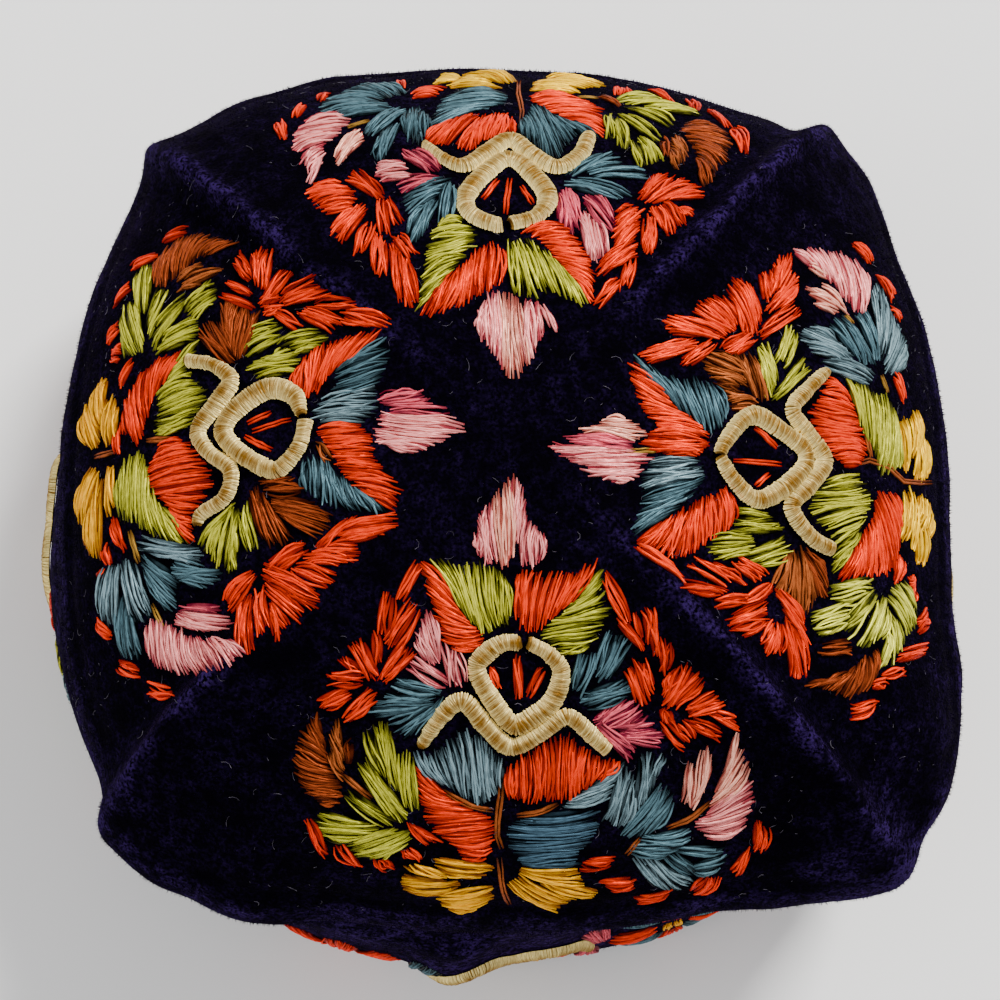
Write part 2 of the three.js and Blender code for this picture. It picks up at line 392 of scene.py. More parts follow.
def read_off(wanted: Array, at: Array, table: Array) -> Array:
    """Read a table between its rows.

    Args:
        wanted: Places to read.
        at: Place of each row.
        table: Table with one row for each place.

    Returns:
        One row for each place that was asked for.
    """
    return np.stack([np.interp(wanted, at, column) for column in table.T], axis=1)


def smooth_line(spots: Array, count: int, steps_between: int = 12) -> Array:
    """Pass a smooth curve through points and space points evenly along it.

    Args:
        spots: Points to pass through, one row each.
        count: Number of points wanted.
        steps_between: Steps of the curve from point to point.

    Returns:
        Evenly spaced points on the curve.
    """
    if len(spots) > 2:
        padded = np.vstack([2 * spots[0] - spots[1], spots, 2 * spots[-1] - spots[-2]])
        steps = np.linspace(0, 1, steps_between + 1)[:-1, None]
        runs = []
        for a, b, c, d in zip(padded, padded[1:], padded[2:], padded[3:]):
            curve = 2 * b + (c - a) * steps + (2 * a - 5 * b + 4 * c - d) * steps**2
            runs.append(0.5 * (curve + (3 * b - a - 3 * c + d) * steps**3))
        spots = np.vstack([*runs, spots[-1:]])
    reach = lengths_along(spots)
    return read_off(np.linspace(0, reach[-1], count), reach, spots)


@dataclass(frozen=True)
class PileLayer:
    """One size of unevenness in a pile: its noise and the range of light that the noise is spread over."""

    size_mm: float
    detail: float
    roughness: float
    low: float
    high: float
    dark: float
    light: float


@dataclass(frozen=True)
class VelvetFinish:
    """Cotton cut-pile velvet, dyed indigo: almost black, with a lit violet mixed in as painted sheen and a
    violet bloom of shader sheen.
    """

    name: str = "cotton_velvet_indigo"
    deep: str = "#020104"
    lit: str = "#261642"
    bloom: str = "#74429e"
    # Painted sheen laid everywhere, under the painted sheen that each vertex adds.
    least_lean: float = 0.06
    # Brushed patches, tufts and the ends of the pile. Real ends are finer than would show here.
    layers: tuple[PileLayer, ...] = (
        PileLayer(9.0, 4.0, 0.68, 0.36, 0.66, 0.1, 1.9),
        PileLayer(1.9, 2.0, 0.5, 0.36, 0.66, 0.2, 1.7),
        PileLayer(0.6, 2.0, 0.5, 0.38, 0.68, 0.0, 2.1),
    )
    relief_mm: float = 0.4
    relief_strength: float = 0.8
    roughness: float = 0.95
    specular: float = 0.01
    sheen: float = 0.05
    sheen_roughness: float = 0.24

    def build(self) -> Material:
        """Make the material.

        Returns:
            A velvet with patches of brushed pile, fine grain, a painted sheen and a soft shader sheen.
        """
        material, tree, shader = start_finish(self.name)
        place = add_node(tree, "ShaderNodeTexCoord").outputs["Object"]
        # The attribute read here is painted sheen, with painted shade in the seam: it mixes the lit violet
        # into the deep colour, broken up by the noise layers below.
        lean = add_node(tree, "ShaderNodeAttribute", attribute_name="nap").outputs["Fac"]
        raised = add_node(tree, "ShaderNodeMath", {0: lean, 1: self.least_lean}, operation="ADD")
        share = raised.outputs["Value"]
        for layer in self.layers:
            scale = 1 / (layer.size_mm * MM)
            grain = {"Vector": place, "Scale": scale, "Detail": layer.detail, "Roughness": layer.roughness}
            noise = add_node(tree, "ShaderNodeTexNoise", grain).outputs["Fac"]
            reach = {"Value": noise, "From Min": layer.low, "From Max": layer.high}
            tones = {"To Min": layer.dark, "To Max": layer.light}
            spread = add_node(tree, "ShaderNodeMapRange", {**reach, **tones}).outputs["Result"]
            shown = add_node(tree, "ShaderNodeMath", {0: share, 1: spread}, operation="MULTIPLY")
            share = shown.outputs["Value"]
        dyes = {"Factor": share, "A": linear(self.deep), "B": linear(self.lit)}
        mixed = add_node(tree, "ShaderNodeMix", dyes, data_type="RGBA")
        # The finest layer, which comes last, also gives the relief.
        depth = {"Height": noise, "Strength": self.relief_strength, "Distance": self.relief_mm * MM}
        relief = add_node(tree, "ShaderNodeBump", depth)
        finish = {
            "Base Color": mixed.outputs["Result"],
            "Normal": relief.outputs["Normal"],
            "Roughness": self.roughness,
            "Specular IOR Level": self.specular,
            "Sheen Weight": self.sheen,
            "Sheen Roughness": self.sheen_roughness,
            "Sheen Tint": linear(self.bloom),
        }
        feed(tree, shader, finish)
        return material


@dataclass(frozen=True)
class SilkFinish:
    """Untwisted floss silk: a satin gleam along each thread, split into fine filaments."""

    thread: Thread
    # Real filaments are finer than would show here.
    filament_mm: float = 0.16
    filament_detail: float = 1.5
    streak_low: float = 0.36
    streak_high: float = 0.64
    streak_share: float = 0.7
    least_share: float = 0.55
    relief_mm: float = 0.12
    relief_strength: float = 0.8
    roughness: float = 0.4
    # A share of the gleam takes the colour of the dye.
    dyed_gleam: float = 0.3
    ior: float = 1.5
    specular: float = 0.05

    def build(self) -> Material:
        """Make the material of one skein.

        Returns:
            A silk whose threads differ a little in tone and carry painted highlight and shade, with filaments
            along each of them.
        """
        dark, light = (linear(value) for value in self.thread.value)
        material, tree, shader = start_finish(self.thread.finish_name)
        # The shade attribute holds each thread's tone with painted highlight and painted shade; it mixes the
        # darker and lighter colours.
        shade = add_node(tree, "ShaderNodeAttribute", attribute_name="shade").outputs["Fac"]
        lay = add_node(tree, "ShaderNodeUVMap", uv_map="strand").outputs["UV"]
        grain = {"Vector": lay, "Scale": 1 / self.filament_mm, "Detail": self.filament_detail}
        filaments = add_node(tree, "ShaderNodeTexNoise", grain).outputs["Fac"]
        reach = {"Value": filaments, "From Min": self.streak_low, "From Max": self.streak_high}
        streak = add_node(tree, "ShaderNodeMapRange", reach).outputs["Result"]
        split = {0: streak, 1: self.streak_share, 2: self.least_share}
        share = add_node(tree, "ShaderNodeMath", split, operation="MULTIPLY_ADD").outputs["Value"]
        streaks = add_node(tree, "ShaderNodeMath", {0: shade, 1: share}, operation="MULTIPLY")
        dyes = {"Factor": streaks.outputs["Value"], "A": dark, "B": light}
        colour = add_node(tree, "ShaderNodeMix", dyes, data_type="RGBA")
        depth = {"Height": filaments, "Strength": self.relief_strength, "Distance": self.relief_mm * MM}
        relief = add_node(tree, "ShaderNodeBump", depth)
        finish = {
            "Base Color": colour.outputs["Result"],
            "Normal": relief.outputs["Normal"],
            "Roughness": self.roughness,
            "Metallic": self.dyed_gleam,
            "IOR": self.ior,
            "Specular IOR Level": self.specular,
            "Specular Tint": light,
        }
        feed(tree, shader, finish)
        return material


@dataclass(frozen=True)
class FloorFinish:
    """Matt brushed paint, pale and warm, with a faint change of tone."""

    name: str = "matt_paint_pale"
    pale: str = "#f8f6f3"
    shade: str = "#f0eeea"
    patch_mm: float = 60.0
    roughness: float = 0.8

    def build(self) -> Material:
        """Make the floor's material.

        Returns:
            A matt pale paint.
        """
        material, tree, shader = start_finish(self.name)
        place = add_node(tree, "ShaderNodeTexCoord").outputs["Object"]
        patches = add_node(tree, "ShaderNodeTexNoise", {"Vector": place, "Scale": 1 / (self.patch_mm * MM)})
        paints = {"Factor": patches.outputs["Fac"], "A": linear(self.pale), "B": linear(self.shade)}
        mixed = add_node(tree, "ShaderNodeMix", paints, data_type="RGBA")
        feed(tree, shader, {"Base Color": mixed.outputs["Result"], "Roughness": self.roughness})
        return material


@dataclass
class SkeinBox:
    """The silk finishes of the cap, each made once when it is first used."""

    made: dict[Thread, Material] = field(default_factory=dict)

    def material(self, thread: Thread) -> Material:
        """Give the finish of a skein.

        Args:
            thread: Skein to use.

        Returns:
            Its material.
        """
        if thread not in self.made:
            self.made[thread] = SilkFinish(thread).build()
        return self.made[thread]


@dataclass
class StrandSet:
    """Threads gathered for one piece, each a flattened strand along its own line."""

    rng: np.random.Generator
    samples: int = 6
    # The section of a strand, across and up as shares of half its width and of its height.
    section: tuple[Pair, ...] = ((-1.0, -0.2), (-0.55, 0.85), (0.55, 0.85), (1.0, -0.2))
    # The map of filaments is drawn out along a strand, and each strand starts further on in it.
    along_share: float = 0.1
    next_strand: Pair = (7.3, 3.1)
    batches: list[tuple[Array, ...]] = field(default_factory=list)

    def add(self, line: Array, up: Array, size: Array, thread: Thread, shade: Array) -> None:
        """Add threads of one skein.

        Args:
            line: Centre lines, (threads, samples, 3) in metres.
            up: Directions away from the cloth, the same shape.
            size: Width and height at each sample, (threads, samples, 2) in metres.
            thread: Skein of all of them.
            shade: Tone from 0 to 1 at each sample, with any painted highlight and painted shade, (threads,
                samples).
        """
        skein = np.full(len(line), list(Thread).index(thread))
        self.batches.append((line, up, size, skein, shade))

    def build(self, name: str, skeins: SkeinBox) -> Object:
        """Make one mesh of all the threads.

        Args:
            name: Name of the piece.
            skeins: Silk finishes.

        Returns:
            The piece.
        """
        line, up, size, skein, shade = (np.concatenate(column) for column in zip(*self.batches))
        count, samples, sides = len(line), self.samples, len(self.section)
        along = unit(np.gradient(line, axis=1))
        aside = unit(np.cross(up, along))
        rise = np.cross(along, aside)
        shape = np.array(self.section)
        across = 0.5 * size[:, :, None, :1] * shape[None, None, :, :1]
        lift = size[:, :, None, 1:] * shape[None, None, :, 1:]
        points = line[:, :, None] + across * aside[:, :, None] + lift * rise[:, :, None]
        corners, starts = self._faces(count)
        mesh = mesh_of(name, points, corners, starts)
        used = sorted(set(skein.tolist()))
        for index in used:
            mesh.materials.append(skeins.material(list(Thread)[index]))
        owner = corners[starts] // (samples * sides)
        mesh.polygons.foreach_set("material_index", np.searchsorted(used, skein)[owner].astype(np.int32))
        keep_values(mesh, "shade", np.repeat(shade.ravel(), sides))
        # The map runs across a strand in millimetres and more slowly along it, so that filaments are long.
        number = np.arange(count)[:, None, None]
        lay = np.empty((count, samples, sides, 2))
        lay[..., 0] = across[..., 0] / MM + self.next_strand[0] * number
        lay[..., 1] = self.along_share * lengths_along(line)[:, :, None] / MM + self.next_strand[1] * number
        layer = mesh.uv_layers.new(name="strand")
        layer.data.foreach_set("uv", lay.reshape(-1, 2)[corners].astype(np.float32).ravel())
        return show(mesh)

    def _faces(self, count: int) -> tuple[Array, Array]:
        """Number the faces of strands.

        Args:
            count: Number of strands.

        Returns:
            Vertex numbers of all faces, and where each face starts in them.
        """
        samples, sides = self.samples, len(self.section)
        start = np.arange(count)[:, None] * samples * sides
        ring = start[:, :, None] + (np.arange(samples - 1) * sides)[None, :, None]
        side = np.arange(sides)[None, None, :]
        after = (side + 1) % sides
        walls = np.stack([ring + after, ring + sides + after, ring + sides + side, ring + side], axis=-1)
        last = start + (samples - 1) * sides
        caps = np.concatenate([start + np.arange(sides), last + np.arange(sides)[::-1]])
        corners = np.concatenate([walls.ravel(), caps.ravel()])
        starts = [np.arange(0, walls.size, walls.shape[-1]), walls.size + np.arange(0, caps.size, sides)]
        return corners, np.concatenate(starts)


@dataclass
class Ground:
    """A chart of cloth in millimetres, laid on the velvet: it turns chart spots into places and normals."""

    corner: Pair
    places: Array
    normals: Array
    # Rows and columns that a spot stays short of at the far edges, so that it has neighbours there.
    far_edge: float = 1.001

    def lay(self, spots: Array) -> tuple[Array, Array]:
        """Lay chart spots on the cloth.

        Args:
            spots: Chart coordinates in millimetres, with two values in the last axis.

        Returns:
            Places in metres and normals.
        """
        rows, columns = self.places.shape[:2]
        u = np.clip(spots[..., 0] - self.corner[0], 0, columns - self.far_edge)
        v = np.clip(spots[..., 1] - self.corner[1], 0, rows - self.far_edge)
        left, top = u.astype(int), v.astype(int)
        fu, fv = (u - left)[..., None], (v - top)[..., None]

        def blended(table: Array) -> Array:
            """Blend the four table entries round each spot.

            Args:
                table: Places or normals of the chart.

            Returns:
                One entry for each spot.
            """
            upper = table[top, left] * (1 - fu) + table[top, left + 1] * fu
            lower = table[top + 1, left] * (1 - fu) + table[top + 1, left + 1] * fu
            return upper * (1 - fv) + lower * fv

        return blended(self.places), unit(blended(self.normals))


@dataclass
class Needle:
    """Lays satin stitches and stems on a ground."""

    ground: Ground
    strands: StrandSet
    spacing_mm: float = 0.31
    width_mm: float = 0.48
    height_mm: float = 0.3
    padding_mm: float = 0.75
    edge_points: int = 60
    # The layer under a petal: its share of the stitches, their width as a share, their height and
    # how far they stay inside the edges.
    under_share: float = 0.35
    under_width: float = 1.9
    under_padding_mm: float = 0.35
    under_inset: float = 0.08
    # Stitches lie in loose bundles that rise and part here and there, with painted highlight on risen bundles
    # and painted shade between them.
    bundle_mm: float = 1.9
    bundle_scatter: float = 0.12
    bundle_rise: float = 0.2
    least_rise: float = 0.86
    bundle_tone: float = 0.28
    middle_tone: float = 0.6
    tone_scatter: float = 0.3
    # How unevenly a hand lays them: crowding as a share of the spacing, the rest in millimetres.
    crowding: float = 0.25
    ragged_mm: float = 0.26
    slip_mm: float = 0.27
    wander_mm: float = 0.42
    wander_turns: Pair = (0.7, 1.6)
    bow_mm: float = 0.24
    sway_mm: float = 0.15
    # A stem's threads: their distance, width, height, scatter and shade.
    stem_spacing_mm: float = 0.55
    stem_width_mm: float = 0.55
    stem_padding_mm: float = 0.25
    stem_scatter_mm: float = 0.06
    stem_tone: float = 0.5
    # A thread's arch: powers of its rise and taper, the length that gives its full height, the least
    # share of that height, how much threads differ and how deep their ends sit in the pile.
    arch_power: float = 0.55
    taper_power: float = 0.5
    end_width: float = 0.62
    full_height_mm: float = 6.0
    least_height: float = 0.45
    height_spread: Pair = (0.85, 1.15)
    width_spread: Pair = (0.66, 1.3)
    sunk_mm: float = 0.12
    # Painted highlight where a thread arches, and painted shade where it dives into the cloth.
    gleam: float = 0.66
    dive: float = 0.46

    def petal(self, petal: Petal) -> None:
        """Fill a petal with satin stitches over a sparse layer in painted shade that hides the velvet.

        Args:
            petal: Patch to fill.
        """
        edges = [np.array(line, float) for line in (petal.start, petal.end)]
        spread = max(lengths_along(edge)[-1] for edge in edges)
        rows = tuple(smooth_line(edge, self.edge_points) for edge in edges)
        under = np.linspace(0, 1, max(2, round(self.under_share * spread / self.spacing_mm)))
        inside = np.linspace(self.under_inset, 1 - self.under_inset, self.strands.samples)
        lines = self._between(rows, under, inside)
        width_mm = self.under_width * self.width_mm
        # The under layer takes the darkest tone, painted shade that shows in the gaps between the upper
        # stitches.
        self._stitch(lines, petal.thread, width_mm, self.under_padding_mm, np.zeros(len(under)))
        self._satin(petal.thread, rows, spread)

    def _satin(self, thread: Thread, rows: tuple[Array, ...], spread: float) -> None:
        """Lay the uneven upper stitches of a petal.

        Args:
            thread: Skein of the stitches.
            rows: Even points along both edges of the petal.
            spread: Length of the longer edge.
        """
        rng, samples = self.strands.rng, self.strands.samples
        order = np.linspace(0, 1, max(3, round(spread / self.spacing_mm)))
        count = len(order)
        bundles = max(1.0, spread / self.bundle_mm)
        phase = order * bundles + rng.uniform(0, 1) + rng.normal(0, self.bundle_scatter, count)
        swell = np.cos(2 * math.pi * phase)
        crowded = rng.normal(0, self.crowding, count) * self.spacing_mm / max(spread, 1)
        spots = self._between(rows, np.clip(order + crowded, 0, 1), np.linspace(0, 1, samples))
        run = unit(spots[:, -1] - spots[:, 0])
        aside = turned_left(run)
        t = np.linspace(0, 1, samples)[None, :, None]
        for share in (t, 1 - t):
            slip = run * rng.normal(0, self.ragged_mm, (count, 1)) + rng.normal(0, self.slip_mm, run.shape)
            spots = spots + slip[:, None] * share
        waves = order * rng.uniform(*self.wander_turns) + rng.uniform(0, 1)
        wander = self.wander_mm * np.sin(2 * math.pi * waves)
        bow = aside * (wander + rng.normal(0, self.bow_mm, count))[:, None]
        sway = aside * rng.normal(0, self.sway_mm, (count, 1))
        spots = spots + bow[:, None] * np.sin(math.pi * t) + sway[:, None] * np.sin(2 * math.pi * t)
        tone = self.middle_tone + self.bundle_tone * swell + rng.normal(0, self.tone_scatter, count)
        padding = self.padding_mm * (self.least_rise + self.bundle_rise * swell)
        self._stitch(spots, thread, self.width_mm, padding, tone)

    @staticmethod
    def _between(rows: tuple[Array, ...], order: Array, shares: Array) -> Array:
        """Draw lines from one edge of a petal to the other.

        Args:
            rows: Even points along both edges.
            order: Places along the edges, from 0 to 1.
            shares: Places along each line, from 0 to 1.

        Returns:
            Chart lines, (threads, samples, 2).
        """
        at = np.linspace(0, 1, len(rows[0]))
        begin, finish = (read_off(order, at, row) for row in rows)
        return begin[:, None] + (finish - begin)[:, None] * shares[None, :, None]

    def stem(self, stem: Stem) -> None:
        """Lay a few thin threads along a path.

        Args:
            stem: Path to follow.
        """
        path = smooth_line(np.array(stem.path, float), self.strands.samples)
        aside = (np.arange(stem.strands) - (stem.strands - 1) / 2) * self.stem_spacing_mm
        left = turned_left(unit(np.gradient(path, axis=0)))
        spots = path[None] + aside[:, None, None] * left[None]
        spots = spots + self.strands.rng.normal(0, self.stem_scatter_mm, spots.shape)
        tone = np.full(stem.strands, self.stem_tone)
        self._stitch(spots, stem.thread, self.stem_width_mm, self.stem_padding_mm, tone)

    def _stitch(
        self, spots: Array, thread: Thread, width_mm: float, padding_mm: float | Array, tone: Array
    ) -> None:
        """Raise threads over their chart lines and add them.

        Args:
            spots: Chart lines, (threads, samples, 2) in millimetres.
            thread: Skein of the threads.
            width_mm: Width of a thread at its middle.
            padding_mm: Height of the threads over the cloth at their middle.
            tone: Shade of each thread, from 0 for dark to 1 for light.
        """
        rng = self.strands.rng
        count, samples = spots.shape[:2]
        hump = np.sin(math.pi * np.linspace(0, 1, samples))
        length = np.linalg.norm(spots[:, -1] - spots[:, 0], axis=1)
        raised = np.clip(length / self.full_height_mm, self.least_height, 1.0)
        rise = raised * padding_mm * rng.uniform(*self.height_spread, count)
        place, up = self.ground.lay(spots)
        height = rise[:, None] * hump[None] ** self.arch_power - self.sunk_mm
        taper = self.end_width + (1 - self.end_width) * hump**self.taper_power
        width = width_mm * rng.uniform(*self.width_spread, count)[:, None] * taper[None]
        size = np.stack([width, np.full_like(width, self.height_mm)], axis=-1) * MM
        shade = tone[:, None] + (self.gleam * hump - self.dive)[None]
        self.strands.add(place + up * height[..., None] * MM, up, size, thread, np.clip(shade, 0, 1))


@dataclass(frozen=True)
class Side:
    """One side's motif: azimuths in degrees, crown stitches, ring and wave cords, and silks on the band."""

    name: str
    motif_deg: float
    wave_deg: float
    stitches: tuple[Petal | Stem, ...]
    ring: str
    wave: str
    band_silks: str


def read_cord(chart: str, count: int = 90) -> tuple[Array, Array]:
    """Read the line of a couched cord.

    Args:
        chart: Spots along the cord, each of them across, out and width in millimetres.
        count: Number of points wanted.

    Returns:
        Even points of the line and the widths there.
    """
    spots = np.array([[float(value) for value in spot.split(",")] for spot in chart.split()])
    line = smooth_line(spots, count)
    return line[:, :2], line[:, 2]


def read_chart(chart: str) -> tuple[Petal | Stem, ...]:
    """Read a stitch chart.

    A skein's name starts its petals. Spots are across and out in millimetres, ">" parts the two edges of
    a petal, ";" starts the next one in the same silk and "along" turns the spots after it into a stem.

    Args:
        chart: Text of the chart.

    Returns:
        The stitches in their order.
    """
    stitches: list[Petal | Stem] = []
    thread, edges, stem = Thread.RED, [[]], False
    for word in [*chart.split(), ";"]:
        if word in Thread.__members__ or word == ";":
            if stem and edges[0]:
                stitches.append(Stem(thread, tuple(edges[0])))
            elif edges[0]:
                stitches.append(Petal(thread, tuple(edges[0]), tuple(edges[1])))
            edges, stem = [[]], False
            thread = thread if word == ";" else Thread[word]
        elif word == ">":
            edges.append([])
        elif word == "along":
            stem = True
        else:
            across, out = word.split(",")
            edges[-1].append((float(across), float(out)))
    return tuple(stitches)


